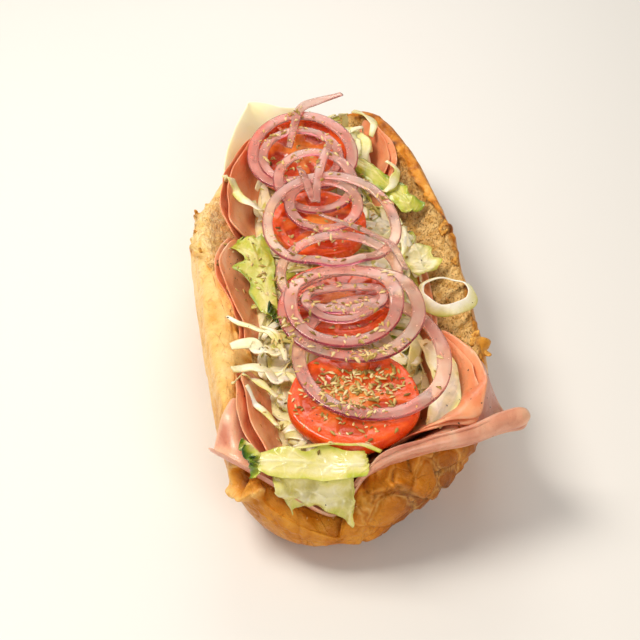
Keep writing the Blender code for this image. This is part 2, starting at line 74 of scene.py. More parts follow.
def lattice(cell, seed):
    """A number from 0 to 1 for each whole-numbered cell, the same at each run."""
    cell = cell.astype(np.int64).astype(np.uint64)
    mixed = cell[..., 0] * np.uint64(73856093) ^ cell[..., 1] * np.uint64(19349663)
    mixed ^= cell[..., 2] * np.uint64(83492791) ^ np.uint64(seed * 2654435761 + 97)
    for _ in range(2):
        mixed = (mixed ^ (mixed >> np.uint64(15))) * np.uint64(2246822519) & np.uint64(0xFFFFFFFF)
    mixed ^= mixed >> np.uint64(13)
    return (mixed & np.uint64(0xFFFFFF)).astype(float) / 0xFFFFFF


def noise(points, size, seed=0, octaves=1):
    """Smooth noise from -1 to 1 at each point. Each further octave is half as large and as strong."""
    points = np.asarray(points, float)
    total = np.zeros(points.shape[:-1])
    weight, reach = 1.0, 0.0
    for octave in range(octaves):
        place = points / size * 2**octave + 71.3 * (seed + octave)
        cell = np.floor(place)
        f = place - cell
        f = f * f * (3 - 2 * f)
        value = 0.0
        for corner in np.ndindex(2, 2, 2):
            share = np.prod(np.where(corner, f, 1 - f), axis=-1)
            value = value + share * lattice(cell + corner, seed + 17 * octave)
        total += (2 * value - 1) * weight
        reach += weight
        weight /= 2
    return total / reach


def cells(points, size, seed=0):
    """Distances to the nearest and the second nearest of scattered points, in cell sizes."""
    place = np.asarray(points, float) / size
    cell = np.floor(place)
    nearest = np.full(place.shape[:-1], 9.0)
    second = nearest.copy()
    for step in np.ndindex(3, 3, 3):
        other = cell + np.array(step) - 1
        centre = other + np.stack([lattice(other, seed + k) for k in range(3)], axis=-1)
        away = np.linalg.norm(centre - place, axis=-1)
        second = np.where(away < nearest, nearest, np.minimum(second, away))
        nearest = np.minimum(nearest, away)
    return nearest, second


def ease(low, high, value):
    """0 below low, 1 above high, and smooth between them."""
    t = np.clip((value - low) / (high - low), 0, 1)
    return t * t * (3 - 2 * t)


# ---------------------------------------------------------------- curves

def along(y, knots):
    """The value at each y of a smooth curve through (y, value) knots, which never swings past them."""
    places = np.array([k[0] for k in knots], float)
    values = np.array([k[1] for k in knots], float)
    rise = np.diff(values) / np.diff(places)
    same_way = rise[:-1] * rise[1:] > 0
    slope = np.zeros(len(knots))
    slope[1:-1][same_way] = (2 * rise[:-1] * rise[1:])[same_way] / (rise[:-1] + rise[1:])[same_way]
    i = np.clip(np.searchsorted(places, y) - 1, 0, len(knots) - 2)
    span = places[i + 1] - places[i]
    t = np.clip((y - places[i]) / span, 0, 1)
    return (
        (2 * t**3 - 3 * t**2 + 1) * values[i]
        + (t**3 - 2 * t**2 + t) * span * slope[i]
        + (3 * t**2 - 2 * t**3) * values[i + 1]
        + (t**3 - t**2) * span * slope[i + 1]
    )


def spline(points, t, closed=False):
    """The points at each t, from 0 to 1, of a Catmull-Rom curve through the points."""
    points = np.asarray(points, float)
    count = len(points)
    spans = count if closed else count - 1
    s = np.minimum(np.asarray(t, float) * spans, spans - 1e-9)
    i = s.astype(int)
    f = (s - i)[:, None]
    if closed:
        before, start, end, after = (points[(i + k) % count] for k in (-1, 0, 1, 2))
    else:
        before, start, end, after = (points[np.clip(i + k, 0, count - 1)] for k in (-1, 0, 1, 2))
    return 0.5 * (
        2 * start
        + (end - before) * f
        + (2 * before - 5 * start + 4 * end - after) * f**2
        + (3 * start - before - 3 * end + after) * f**3
    )


def evenly(points, count, closed=False):
    """A smooth curve through the points, as points that are evenly spaced along it."""
    fine = spline(points, np.linspace(0, 1, 400, endpoint=not closed), closed)
    if closed:
        fine = np.vstack([fine, fine[:1]])
    run = np.concatenate([[0], np.cumsum(np.linalg.norm(np.diff(fine, axis=0), axis=1))])
    places = np.linspace(0, run[-1], count, endpoint=not closed)
    return np.stack([np.interp(places, run, fine[:, k]) for k in range(3)], axis=1)


# ---------------------------------------------------------------- meshes

def make_piece(name, points, faces, material, slot, nodes=(), values=None):
    """A mesh piece that rides on the part. values are numbers for each point, read by its material."""
    mesh = bpy.data.meshes.new(name)
    mesh.from_pydata((np.asarray(points) * MM).tolist(), [], [tuple(map(int, f)) for f in faces])
    work = bmesh.new()
    work.from_mesh(mesh)
    bmesh.ops.recalc_face_normals(work, faces=work.faces)
    if work.calc_volume(signed=True) < 0:
        bmesh.ops.reverse_faces(work, faces=work.faces)
    work.to_mesh(mesh)
    work.free()
    mesh.shade_smooth()
    mesh.materials.append(material)
    for label, numbers in (values or {}).items():
        layer = mesh.attributes.new(label, "FLOAT", "POINT")
        layer.data.foreach_set("value", np.asarray(numbers, np.float32).ravel())
    made = bpy.data.objects.new(name, mesh)
    bpy.context.scene.collection.objects.link(made)
    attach(made, "root")
    if nodes:
        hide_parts(*nodes)


def grid_faces(rows, columns, wrap_rows=False, wrap_columns=False):
    """The quads of a grid of points, as an array."""
    index = np.arange(rows * columns).reshape(rows, columns)
    if wrap_rows:
        index = np.vstack([index, index[:1]])
    if wrap_columns:
        index = np.hstack([index, index[:, :1]])
    corners = (index[:-1, :-1], index[1:, :-1], index[1:, 1:], index[:-1, 1:])
    return np.stack(corners, axis=-1).reshape(-1, 4)


def unit(vectors):
    return vectors / np.linalg.norm(vectors, axis=-1, keepdims=True)


def drift(points, size, seed, octaves=1):
    """Noise from -1 to 1 along each axis at each point."""
    return np.stack([noise(points, size, seed + k, octaves) for k in range(3)], axis=-1)


def joined(parts):
    """The points and the faces of several (points, faces) parts as one."""
    points, faces, start = [], [], 0
    for own, corners in parts:
        points.append(own)
        faces += [tuple(start + k for k in f) for f in corners]
        start += len(own)
    return np.vstack(points), faces


def grid_normals(grid, wrap_rows=False, wrap_columns=False):
    def slope(axis, wrap):
        if wrap:
            return np.roll(grid, -1, axis) - np.roll(grid, 1, axis)
        return np.gradient(grid, axis=axis)

    normal = np.cross(slope(0, wrap_rows), slope(1, wrap_columns))
    return normal / np.linalg.norm(normal, axis=-1, keepdims=True).clip(1e-9)


def mesh_points(mesh):
    points = np.empty(len(mesh.vertices) * 3)
    mesh.vertices.foreach_get("co", points)
    return points.reshape(-1, 3)


def cad_points(node):
    """The separate corner points of a CAD node, in millimetres."""
    return np.unique(np.round(mesh_points(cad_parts[node].data) / MM, 3), axis=0)


def cad_box(node):
    low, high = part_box(node)
    return np.array(low) / MM, np.array(high) / MM


def cad_tree(*nodes):
    """A tree of the CAD nodes' faces, for finding what lies under a point."""
    points, faces = [], []
    for node in nodes:
        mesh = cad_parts[node].data
        start = len(points)
        points += [v.co / MM for v in mesh.vertices]
        faces += [[start + k for k in p.vertices] for p in mesh.polygons]
    return BVHTree.FromPolygons(points, faces)


def dropped(tree, x, y):
    """Where something dropped on (x, y) meets the tree's faces, or None, and their normal there."""
    return tree.ray_cast(Vector((x, y, HIGH_ABOVE)), Vector((0, 0, -1)))[:2]


def height_map(tree, low, high, step=1.5):
    """Heights of the tree's top over a grid, as a function of (x, y). It is -100 where nothing lies."""
    xs = np.arange(low[0], high[0] + step, step)
    ys = np.arange(low[1], high[1] + step, step)
    heights = np.full((len(xs), len(ys)), -100.0)
    for i, x in enumerate(xs):
        for j, y in enumerate(ys):
            hit, _ = dropped(tree, x, y)
            if hit is not None:
                heights[i, j] = hit.z

    def height(x, y):
        u = np.clip((np.asarray(x) - xs[0]) / step, 0, len(xs) - 1.001)
        v = np.clip((np.asarray(y) - ys[0]) / step, 0, len(ys) - 1.001)
        i, j = u.astype(int), v.astype(int)
        f, g = u - i, v - j
        return (
            heights[i, j] * (1 - f) * (1 - g)
            + heights[i + 1, j] * f * (1 - g)
            + heights[i, j + 1] * (1 - f) * g
            + heights[i + 1, j + 1] * f * g
        )

    return height


def softened(node, levels):
    """A CAD node's surface, subdivided and rounded, with each point's distance from a sharp edge."""
    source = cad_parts[node].data
    mesh = bpy.data.meshes.new("work")
    keys = {}
    renumber = [
        keys.setdefault(tuple(round(c, 3) for c in v.co / MM), len(keys)) for v in source.vertices
    ]
    faces = [[renumber[k] for k in p.vertices] for p in source.polygons]
    mesh.from_pydata(list(keys), [], [f for f in faces if len(set(f)) == len(f)])
    work = bmesh.new()
    work.from_mesh(mesh)
    sharp = [e for e in work.edges if e.is_manifold and e.calc_face_angle() > math.radians(50)]
    samples = [e.verts[0].co.lerp(e.verts[1].co, t) for e in sharp for t in np.linspace(0, 1, 6)]
    bmesh.ops.join_triangles(work, faces=work.faces, angle_face_threshold=0.9, angle_shape_threshold=2.5)
    work.to_mesh(mesh)
    work.free()
    shape = bpy.data.objects.new("work", mesh)
    bpy.context.scene.collection.objects.link(shape)
    finer = shape.modifiers.new("finer", "SUBSURF")
    finer.levels = levels
    bpy.context.view_layer.update()
    smooth = bpy.data.meshes.new_from_object(shape.evaluated_get(bpy.context.evaluated_depsgraph_get()))
    points = mesh_points(smooth)
    faces = [tuple(p.vertices) for p in smooth.polygons]
    bpy.data.objects.remove(shape)
    tree = KDTree(len(samples))
    for k, sample in enumerate(samples):
        tree.insert(sample, k)
    tree.balance()
    edge = np.array([tree.find(p)[2] for p in points])
    return points, faces, edge


# ---------------------------------------------------------------- materials

def srgb(red, green, blue):
    """A colour as screens show it, 0 to 255, in the linear values that shaders use."""
    share = np.array((red, green, blue)) / 255
    linear = np.where(share <= 0.04045, share / 12.92, ((share + 0.055) / 1.055) ** 2.4)
    return (*(float(c) for c in linear), 1.0)


class Paint:
    """One Principled material. Its methods add nodes and return their outputs."""

    def __init__(self, name, **sockets):
        self.material = bpy.data.materials.new(name)
        self.material.use_nodes = True
        self.tree = self.material.node_tree
        self.shader = self.tree.nodes["Principled BSDF"]
        self.place = self.tree.nodes.new("ShaderNodeTexCoord").outputs["Object"]
        for label, value in sockets.items():
            self.shader.inputs[label.replace("_", " ").title()].default_value = value

    def feed(self, socket, value):
        """Set a socket to a number or an srgb colour, or link it to another node's output."""
        if isinstance(value, bpy.types.NodeSocket):
            self.tree.links.new(value, socket)
        else:
            socket.default_value = srgb(*value) if isinstance(value, tuple) else value

    def soften(self, radius, weight):
        """Let light pass under the surface, as far as radius in millimetres."""
        self.feed(self.shader.inputs["Subsurface Weight"], weight)
        self.shader.inputs["Subsurface Radius"].default_value = [r * MM for r in radius]
        self.feed(self.shader.inputs["Subsurface Scale"], 1.0)

    def node(self, kind, inputs, **settings):
        """Add a node and feed some of its inputs, which are given by name or by number."""
        node = self.tree.nodes.new("ShaderNode" + kind)
        for label, setting in settings.items():
            setattr(node, label, setting)
        for label, value in inputs.items():
            self.feed(node.inputs[label], value)
        return node

    def texture(self, kind, size, stretch, inputs, **settings):
        """A texture in the object's own space. size is in millimetres, and stretch scales each axis."""
        place = self.place
        if stretch:
            place = self.node("Mapping", {"Vector": place, "Scale": list(stretch)}).outputs["Vector"]
        return self.node(kind, {"Vector": place, "Scale": 1 / (size * MM), **inputs}, **settings)

    def noise(self, size, detail=4.0, distortion=0.0, stretch=None):
        inputs = {"Detail": detail, "Distortion": distortion}
        return self.texture("TexNoise", size, stretch, inputs).outputs["Fac"]

    def edges(self, size, stretch):
        """The distance from the edges of cells, in cell sizes."""
        node = self.texture("TexVoronoi", size, stretch, {}, feature="DISTANCE_TO_EDGE")
        return node.outputs["Distance"]

    def value(self, label):
        return self.node("Attribute", {}, attribute_name=label).outputs["Fac"]

    def ramp(self, factor, *stops):
        """A colour from (place, (red, green, blue)) stops."""
        node = self.node("ValToRGB", {"Fac": factor})
        elements = node.color_ramp.elements
        while len(elements) < len(stops):
            elements.new(0.5)
        for element, (place, colour) in zip(elements, stops):
            element.position = place
            element.color = srgb(*colour)
        return node.outputs["Color"]

    def span(self, value, low, high, to_low=0.0, to_high=1.0):
        """A value between low and high, spread between two other numbers."""
        return self.node("MapRange", dict(enumerate((value, low, high, to_low, to_high)))).outputs[0]

    def patchy(self, size, detail, low, high, to_low=0.0, to_high=1.0):
        return self.span(self.noise(size, detail), low, high, to_low, to_high)

    def mottled(self, size, detail, low, high, first, second):
        """A colour that drifts from one to another with the noise."""
        return self.mix(self.patchy(size, detail, low, high), first, second)

    def mix(self, factor, first, second):
        return self.node("Mix", {0: factor, 6: first, 7: second}, data_type="RGBA").outputs[2]

    def maths(self, way, first, second):
        return self.node("Math", {0: first, 1: second}, operation=way).outputs[0]

    def bump(self, height, depth, under=None):
        """Relief of a depth in millimetres, over any relief under it."""
        inputs = {"Distance": depth * MM, "Height": height}
        if under is not None:
            inputs["Normal"] = under
        return self.node("Bump", inputs).outputs["Normal"]

    def finish(self, colour, roughness=None, normal=None):
        self.feed(self.shader.inputs["Base Color"], colour)
        if roughness is not None:
            self.feed(self.shader.inputs["Roughness"], roughness)
        if normal is not None:
            self.feed(self.shader.inputs["Normal"], normal)
        return self.material


def bread_material():
    """Crust where the value crumb is 0 and crumb where it is 1. brown darkens it, for browning and
    painted shade, and crack pales it, for torn crust and painted highlights.
    """
    paint = Paint("bread", roughness=0.6)
    paint.shader.inputs["Specular Tint"].default_value = (1.0, 0.8, 0.5, 1.0)
    paint.soften((2.5, 1.4, 0.7), 0.1)
    mottle = paint.noise(8, 5, 0.4)
    tone = paint.maths("ADD", paint.value("browning_and_shade"), paint.span(mottle, 0.3, 0.7, -0.11, 0.11))
    crust = paint.ramp(
        tone,
        (0.0, (250, 216, 152)),
        (0.22, (242, 194, 114)),
        (0.42, (222, 150, 48)),
        (0.62, (196, 114, 12)),
        (0.82, (150, 76, 2)),
        (1.0, (92, 42, 0)),
    )
    flecks = paint.patchy(1.4, 3, 0.58, 0.72)
    crust = paint.mix(paint.maths("MULTIPLY", flecks, 0.4), crust, (150, 80, 10))
    pale = paint.mottled(2.0, 4, 0.35, 0.7, (224, 162, 72), (246, 208, 132))
    crust = paint.mix(paint.value("pale_tear_and_highlight"), crust, pale)
    crackle = paint.span(paint.edges(5.5, (1.0, 0.45, 1.0)), 0.0, 0.05, 1.0, 0.0)
    crackle = paint.maths("MULTIPLY", crackle, paint.patchy(9, 3, 0.45, 0.62))
    crust = paint.mix(paint.maths("MULTIPLY", crackle, 0.3), crust, (176, 100, 20))
    holes = paint.noise(0.8, 4, 0.3, (1.0, 0.7, 0.7))
    grain = paint.noise(4, 6, 0.5)
    crumb = paint.mix(paint.span(grain, 0.35, 0.65), (204, 154, 80), (236, 200, 134))
    # Painted shade in the pores: the crumb is darker in its holes.
    crumb = paint.mix(paint.span(holes, 0.48, 0.34, 0.0, 0.75), crumb, (146, 94, 36))
    bright = paint.mix(paint.span(grain, 0.35, 0.65), (238, 192, 110), (252, 224, 166))
    bright = paint.mix(paint.span(holes, 0.42, 0.3, 0.0, 0.5), bright, (206, 146, 66))
    crumb = paint.mix(paint.value("white"), crumb, bright)
    toasted = paint.mottled(2.5, 4, 0.35, 0.65, (132, 74, 18), (206, 138, 54))
    crumb = paint.mix(paint.value("toast"), crumb, toasted)
    colour = paint.mix(paint.value("crumb"), crust, crumb)
    fine = paint.bump(paint.noise(0.8, 5), 0.3)
    fine = paint.bump(paint.noise(2.4, 3), 0.45, fine)
    fine = paint.bump(crackle, -0.25, fine)
    pores = paint.maths("MULTIPLY", paint.span(holes, 0.3, 0.5), paint.value("crumb"))
    relief = paint.bump(pores, 0.5, fine)
    gloss = paint.patchy(2, 3, 0.35, 0.65, 0.26, 0.5)
    roughness = paint.maths("MAXIMUM", gloss, paint.span(paint.value("crumb"), 0, 1, 0.3, 0.9))
    return paint.finish(colour, roughness, relief)


# The colours of the ham: more orange in the folded slices, and pinker in the front one, whose colours are
# also darker as painted shade.
FOLDED_HAM = ((222, 122, 76), (236, 144, 94), (244, 166, 118), (250, 200, 160))
FRONT_HAM_SHADED = ((188, 102, 76), (206, 124, 96), (220, 148, 120), (234, 186, 158))


def ham_material(name, tones):
    """edge is 1 at a slice's pale rim, and fold is up to 1 where painted shade darkens it, as in a fold
    or crease.
    """
    paint = Paint(name, roughness=0.36, coat_weight=0.3, coat_roughness=0.22)
    paint.soften((4.0, 1.2, 0.8), 0.25)
    clouds = paint.noise(14, 5, 0.8, (1.0, 0.45, 1.0))
    colour = paint.ramp(clouds, *zip((0.25, 0.45, 0.6, 0.8), tones))
    fibres = paint.span(paint.noise(2.2, 3, 0.3, (1.0, 0.3, 1.0)), 0.5, 0.75, 0, 0.35)
    colour = paint.mix(fibres, colour, (240, 180, 144))
    colour = paint.mix(paint.value("edge"), colour, (248, 200, 160))
    colour = paint.mix(paint.value("fold"), colour, (176, 92, 66))
    pores = paint.patchy(0.9, 3, 0.62, 0.7)
    colour = paint.mix(paint.maths("MULTIPLY", pores, 0.3), colour, (180, 92, 70))
    relief = paint.bump(paint.noise(1.3, 4), 0.16)
    relief = paint.bump(paint.noise(7, 3, 0.6, (1.0, 0.4, 1.0)), 0.9, relief)
    roughness = paint.patchy(6, 3, 0.3, 0.7, 0.26, 0.5)
    return paint.finish(colour, roughness, relief)


def cheese_material():
    paint = Paint("cheese", roughness=0.42, coat_weight=0.1, coat_roughness=0.4)
    paint.soften((3.0, 2.4, 1.4), 0.25)
    colour = paint.mottled(20, 3, 0.3, 0.7, (250, 236, 182), (255, 247, 214))
    colour = paint.mix(paint.value("edge"), colour, (252, 248, 226))
    relief = paint.bump(paint.noise(3, 3), 0.06)
    return paint.finish(colour, paint.patchy(5, 3, 0.3, 0.7, 0.34, 0.5), relief)


def lettuce_material():
    """green runs from 0, a white rib, through yellow-green to 1, a dark green tip."""
    paint = Paint("lettuce", roughness=0.3, coat_weight=0.3, coat_roughness=0.15)
    paint.soften((1.6, 1.4, 0.5), 0.2)
    tone = paint.maths("ADD", paint.value("green"), paint.patchy(7, 4, 0.3, 0.7, -0.1, 0.1))
    colour = paint.ramp(
        tone,
        (0.0, (252, 244, 222)),
        (0.2, (240, 230, 184)),
        (0.4, (224, 212, 126)),
        (0.58, (190, 192, 62)),
        (0.78, (112, 144, 22)),
        (1.0, (36, 74, 6)),
    )
    veins = paint.span(paint.edges(7, (1.0, 0.5, 1.0)), 0.0, 0.05, 1.0, 0.0)
    colour = paint.mix(paint.maths("MULTIPLY", veins, 0.1), colour, (250, 244, 214))
    relief = paint.bump(paint.noise(2.2, 4), 0.2)
    relief = paint.bump(veins, 0.05, relief)
    return paint.finish(colour, paint.patchy(4, 3, 0.3, 0.7, 0.2, 0.42), relief)


def tomato_material():
    """skin is 1 on the skin, wall near it, core in the middle, and jelly in the seed pockets."""
    paint = Paint("tomato", roughness=0.22, coat_weight=0.35, coat_roughness=0.06)
    paint.soften((3.0, 0.8, 0.3), 0.15)
    flesh = paint.ramp(
        paint.noise(5, 5, 0.5),
        (0.3, (204, 62, 6)),
        (0.5, (218, 90, 18)),
        (0.72, (230, 124, 44)),
    )
    flesh = paint.mix(paint.value("core"), flesh, (230, 134, 56))
    wall = paint.mottled(4, 4, 0.3, 0.7, (224, 66, 6), (238, 98, 24))
    flesh = paint.mix(paint.value("wall"), flesh, wall)
    flesh = paint.mix(paint.value("jelly"), flesh, (180, 40, 0))
    rim = paint.mottled(4, 3, 0.3, 0.7, (232, 62, 4), (246, 94, 14))
    colour = paint.mix(paint.value("skin"), flesh, rim)
    relief = paint.bump(paint.noise(1.2, 4), 0.2)
    return paint.finish(colour, paint.patchy(3, 3, 0.3, 0.7, 0.12, 0.34), relief)


def onion_material():
    """skin is 1 on the thin purple skin of a ring's outside, and inside is 1 at its inner edge."""
    paint = Paint("onion", roughness=0.2, coat_weight=0.6, coat_roughness=0.08)
    paint.shader.inputs["IOR"].default_value = 1.2
    paint.shader.inputs["Transmission Weight"].default_value = 0.75
    paint.soften((2.0, 1.0, 1.0), 0.2)
    flesh = paint.ramp(
        paint.noise(9, 4),
        (0.3, (244, 188, 172)),
        (0.5, (252, 212, 198)),
        (0.75, (255, 232, 220)),
    )
    flesh = paint.mix(paint.value("inside"), flesh, (246, 196, 178))
    lines = paint.span(paint.value("layers"), 0.0, 1.0, 0.0, 0.4)
    flesh = paint.mix(lines, flesh, (206, 130, 140))
    colour = paint.mix(paint.value("skin"), flesh, (158, 20, 72))
    relief = paint.bump(paint.noise(2.5, 2), 0.08)
    return paint.finish(colour, paint.patchy(3, 3, 0.3, 0.7, 0.1, 0.3), relief)


def herb_material():
    paint = Paint("dried_herb", roughness=0.8)
    colour = paint.ramp(
        paint.value("shade"),
        (0.0, (126, 98, 36)),
        (0.3, (178, 146, 66)),
        (0.65, (226, 194, 122)),
        (1.0, (248, 228, 174)),
    )
    return paint.finish(colour, None, paint.bump(paint.noise(0.4, 3), 0.1))


def pepper_material():
    paint = Paint("pepper", roughness=0.7)
    colour = paint.mottled(0.3, 3, 0.4, 0.6, (26, 20, 16), (86, 66, 48))
    return paint.finish(colour)


def seed_material():
    paint = Paint("seed", roughness=0.25, coat_weight=0.5, coat_roughness=0.1)
    paint.soften((1.5, 1.0, 0.5), 0.4)
    return paint.finish(paint.mottled(0.6, 2, 0.4, 0.6, (226, 178, 96), (240, 208, 140)))


def torn_material():
    paint = Paint("torn_crust", roughness=0.6)
    paint.shader.inputs["Specular Tint"].default_value = (1.0, 0.8, 0.5, 1.0)
    colour = paint.mottled(1.6, 3, 0.35, 0.65, (160, 96, 18), (236, 178, 84))
    return paint.finish(colour, None, paint.bump(paint.noise(0.6, 3), 0.2))


def crumb_material():
    paint = Paint("crumbs", roughness=0.85)
    return paint.finish(paint.mottled(1.0, 3, 0.35, 0.65, (200, 128, 48), (240, 200, 134)))


# ---------------------------------------------------------------- the roll

# Its form, in the same named sizes as the CAD roll. These are in the place where the CAD script models
# it; SHIFT is how far that script then moves it to centre it.
SHIFT = np.array([-3.86, -9.25, 0.0])
ROLL_NEAR = -131.5
ROLL_FAR = 150.0
ROLL_RIGHT = 64.5
ROLL_NOSE_HEIGHT = 17.0
RIM_HEIGHT = 45.0
NEAR_BLUNTNESS = (3.2, 4.5, 8.0, 3.5)
FAR_BLUNTNESS = (2.5, 2.3, 13.0, 3.5)
AXIS_NEAR_SHIFT = -12.0
AXIS_FAR_SHIFT = 10.0
ROLL_LEFT = (
    (-134, 63.5), (-100, 61.5), (-60, 60), (-20, 61.5), (20, 64), (55, 66.5), (85, 65.5), (110, 63.5),
    (150, 63.5),
)
TUCK = ((-134, 4), (-120, 11), (-105, 12), (-80, 5), (-55, 0), (150, 0))
CUT_LEFT = (
    (-134, -22), (-122, -36), (-108, -44), (-95, -49), (0, -51), (50, -51), (75, -43), (100, -36),
    (130, -18), (147, 4),
)
CUT_RIGHT = (
    (-134, -8), (-122, 1), (-112, 12), (-100, 32), (-86, 47), (-50, 57), (30, 58), (60, 53), (90, 46),
    (128, 33), (147, 20),
)
# How far the left rim's soft inner edge leans in over the filling.
RIM_LEAN = ((-134, 0), (-100, 1), (-75, 3.5), (-40, 6), (-10, 6.5), (15, 3), (30, 0), (150, 0))
HINGE = ((-134, -14), (-118, -11), (-80, 0), (60, 2), (147, 12))
FLOOR_HEIGHT = ((-134, 17), (-124, 23), (-100, 13), (90, 13), (135, 24), (147, 18))
RIM_LEFT_DROP = (
    (-134, 10), (-120, 12), (-108, 8), (-95, 4), (-75, 0), (50, 0), (80, 7), (120, 9), (147, 6),
)
RIM_RIGHT_RISE = ((-134, 1), (-122, 2), (-114, 4), (-90, -1), (-50, -1), (60, 1), (110, 6), (150, 8))
# The numbers of stations across which the roll is cut: close together at its cracked near end.
NEAR_STATIONS = 130
OTHER_STATIONS = 205
NEAR_PART_END = -92.0
SHORT_OF_TIP = 0.9995
# The number of points between each corner of the outline and the next, from the middle of the base,
# up the right side, over the right rim and down its cut face, and then up the left side's.
ROLL_POINTS = (3, 4, 7, 20, 24, 18, 12, 14, 34, 16, 8, 12, 24, 16, 12, 12, 18, 14, 7, 4, 3)

# Where crust turns to crumb, as places along the outline: 8 is the right cut face's top and 13 the
# left one's. The left rim is torn open towards the far end.
CRUMB_START = (
    (-134, 11.8), (-125, 11.4), (-118, 10.2), (-110, 9.4), (-104, 8.6), (-90, 7.1), (-75, 6.5), (30, 6.4),
    (45, 6.7), (60, 7.5), (150, 7.7),
)
CRUMB_END = (
    (-134, 10.2), (-125, 10.4), (-119, 10.9), (-113, 11.4), (-102, 12.3), (-92, 12.7), (-60, 12.5),
    (-40, 12.7), (-26, 13.2), (0, 13.6), (14, 14.6), (22, 15.3), (40, 15.9), (66, 15.8), (80, 14.2),
    (150, 13.8),
)
# Splits in the crust, most of them at the near right: (half width, depth, paleness, points).
CRACKS = (
    (
        0.5, 1.9, 0.3,
        (
            (29, -99, 52), (28.4, -106, 47), (29.8, -111, 44), (28.4, -115, 41), (29.4, -119, 36),
            (27, -120, 31),
        ),
    ),
    (0.5, 1.2, 0.1, ((11, -111, 49), (12.6, -117, 42), (11.8, -120, 39), (13, -122, 37))),
    (0.5, 1.9, 0.3, ((13, -122, 37), (16, -123, 35), (21, -122.5, 32), (26, -118, 27), (31, -113, 24))),
    (0.5, 1.3, 0.15, ((13, -122, 37), (9, -123.5, 36), (4, -123.6, 35), (1.5, -122, 35))),
    (0.4, 1.0, 0.15, ((4, -123.6, 35), (2.6, -126, 32), (2.8, -128, 29))),
    (0.5, 1.9, 0.3, ((41, -99, 48), (40.2, -104, 43), (41, -107.6, 40), (38, -107, 32), (31, -112, 28))),
    (0.5, 1.4, 0.1, ((20, -104, 52), (21, -110, 48), (18.6, -114, 44), (19, -118, 41))),
    (0.5, 1.4, 0.1, ((47, -98, 44), (49, -102, 38), (47, -104, 33))),
    (0.4, 1.2, 0.2, ((29.4, -117, 38), (34, -114, 37), (38, -110, 36))),
    (0.4, 1.0, 0.2, ((-30, -121, 22), (-24, -124, 20), (-18, -125, 19))),
    (0.4, 0.9, 0.2, ((-60, -40, 34), (-61, -30, 33), (-60.5, -22, 35))),
    (0.4, 0.8, 0.2, ((-61, 2, 30), (-62, 12, 31), (-62.5, 18, 29))),
    (0.5, 1.0, 0.3, ((-57, -2, 44), (-58.5, -14, 42), (-58, -26, 41), (-57, -36, 40))),
)
# The height of the ledge along which the near right crust overlaps, as (x, height) knots.
LEDGE = ((0, 35), (4, 35), (9, 36), (13, 37), (16, 35), (21, 32), (26, 28), (33, 27), (60, 27))
# Knobs of torn crust: (place, radius, how far it stands out).
KNOBS = (
    ((60, 31, 45), 2.6, 3.2),
    ((61, 22, 46), 5.0, 1.6),
    ((61, -50, 43), 2.8, 3.4),
    ((47, -103, 38), 6.0, 3.2),
    ((60, 4, 45), 4.0, -1.4),
    ((60, -30, 45), 5.0, -1.2),
    ((-62, 62, 40), 5.0, 1.4),
    ((-61, 34, 42), 6.0, 1.2),
)
# The torn fold at the near left: its hollow's middle, and the lip that stands out under it.
FOLD = (-47.5, -107, 33)
FOLD_LIP = (
    (-51, -105, 25), (-49, -107.5, 26), (-47, -110, 27), (-44.5, -112.5, 28.5), (-42, -114, 31),
    (-40, -115, 34),
)


def roll_outline(y):
    """The corner points of the roll's outline at each y, as an array of (corner, station, x or z), and
    how far its height over and under the nose is kept there."""
    t = np.where(y < 0, y / ROLL_NEAR, y / ROLL_FAR)
    plan_left, plan_right, over, under = (
        np.sqrt(1 - t ** np.where(y < 0, near, far)) for near, far in zip(NEAR_BLUNTNESS, FAR_BLUNTNESS)
    )
    shift = AXIS_NEAR_SHIFT * np.clip(-(y + 40) / 94, 0, None) ** 2
    shift = shift + AXIS_FAR_SHIFT * np.clip((y - 20) / 127, 0, None) ** 2
    left = shift - along(y, ROLL_LEFT) * plan_left
    right = shift + ROLL_RIGHT * plan_right
    tucked = right - along(y, TUCK)
    middle = along(y, HINGE)
    floor = along(y, FLOOR_HEIGHT)
    rim_left = RIM_HEIGHT - along(y, RIM_LEFT_DROP)
    rim_right = RIM_HEIGHT + along(y, RIM_RIGHT_RISE)
    cut_left = np.maximum(along(y, CUT_LEFT), left + 3)
    cut_right = np.minimum(along(y, CUT_RIGHT), right - 3)
    lean = along(y, RIM_LEAN)
    none = np.zeros_like(y)
    outline = [
        (shift, none),
        (shift + 0.30 * (tucked - shift), none),
        (shift + 0.62 * (tucked - shift), none),
        (shift + 0.90 * (tucked - shift), none + 9),
        (0.40 * right + 0.60 * tucked, none + 25),
        (0.88 * right + 0.12 * cut_right, rim_right - 6),
        (0.60 * right + 0.40 * cut_right, rim_right),
        (0.30 * right + 0.70 * cut_right, rim_right),
        (cut_right - 1.5, rim_right - 4.5),
        (0.62 * cut_right + 0.38 * middle, floor + 0.40 * (rim_right - floor)),
        (middle + 0.26 * (cut_right - middle), floor + 2),
        (middle + 0.26 * (cut_left - middle), floor + 2),
        (0.62 * cut_left + 0.38 * middle + 0.5 * lean, floor + 0.40 * (rim_left - floor)),
        (cut_left + 1.5 + lean, rim_left - 4.5),
        (0.30 * left + 0.70 * cut_left + 0.6 * lean, rim_left),
        (0.60 * left + 0.40 * cut_left, rim_left),
        (0.88 * left + 0.12 * cut_left, rim_left - 6),
        (left, none + 24),
        (shift + 0.90 * (left - shift), none + 8),
        (shift + 0.62 * (left - shift), none),
        (shift + 0.30 * (left - shift), none),
    ]
    return np.array([np.stack(corner, axis=-1) for corner in outline]), over, under


def roll_stations():
    """The place along the roll of each station, close together at its ends too."""
    tip = np.sin(np.linspace(1, 0, NEAR_STATIONS, endpoint=False) * math.pi / 2)
    near = NEAR_PART_END + (ROLL_NEAR * SHORT_OF_TIP - NEAR_PART_END) * tip
    t = np.linspace(0, 1, OTHER_STATIONS)
    spread = 0.75 * np.sin(t * math.pi / 2) + 0.25 * t
    return np.concatenate([near, NEAR_PART_END + (ROLL_FAR * SHORT_OF_TIP - NEAR_PART_END) * spread])


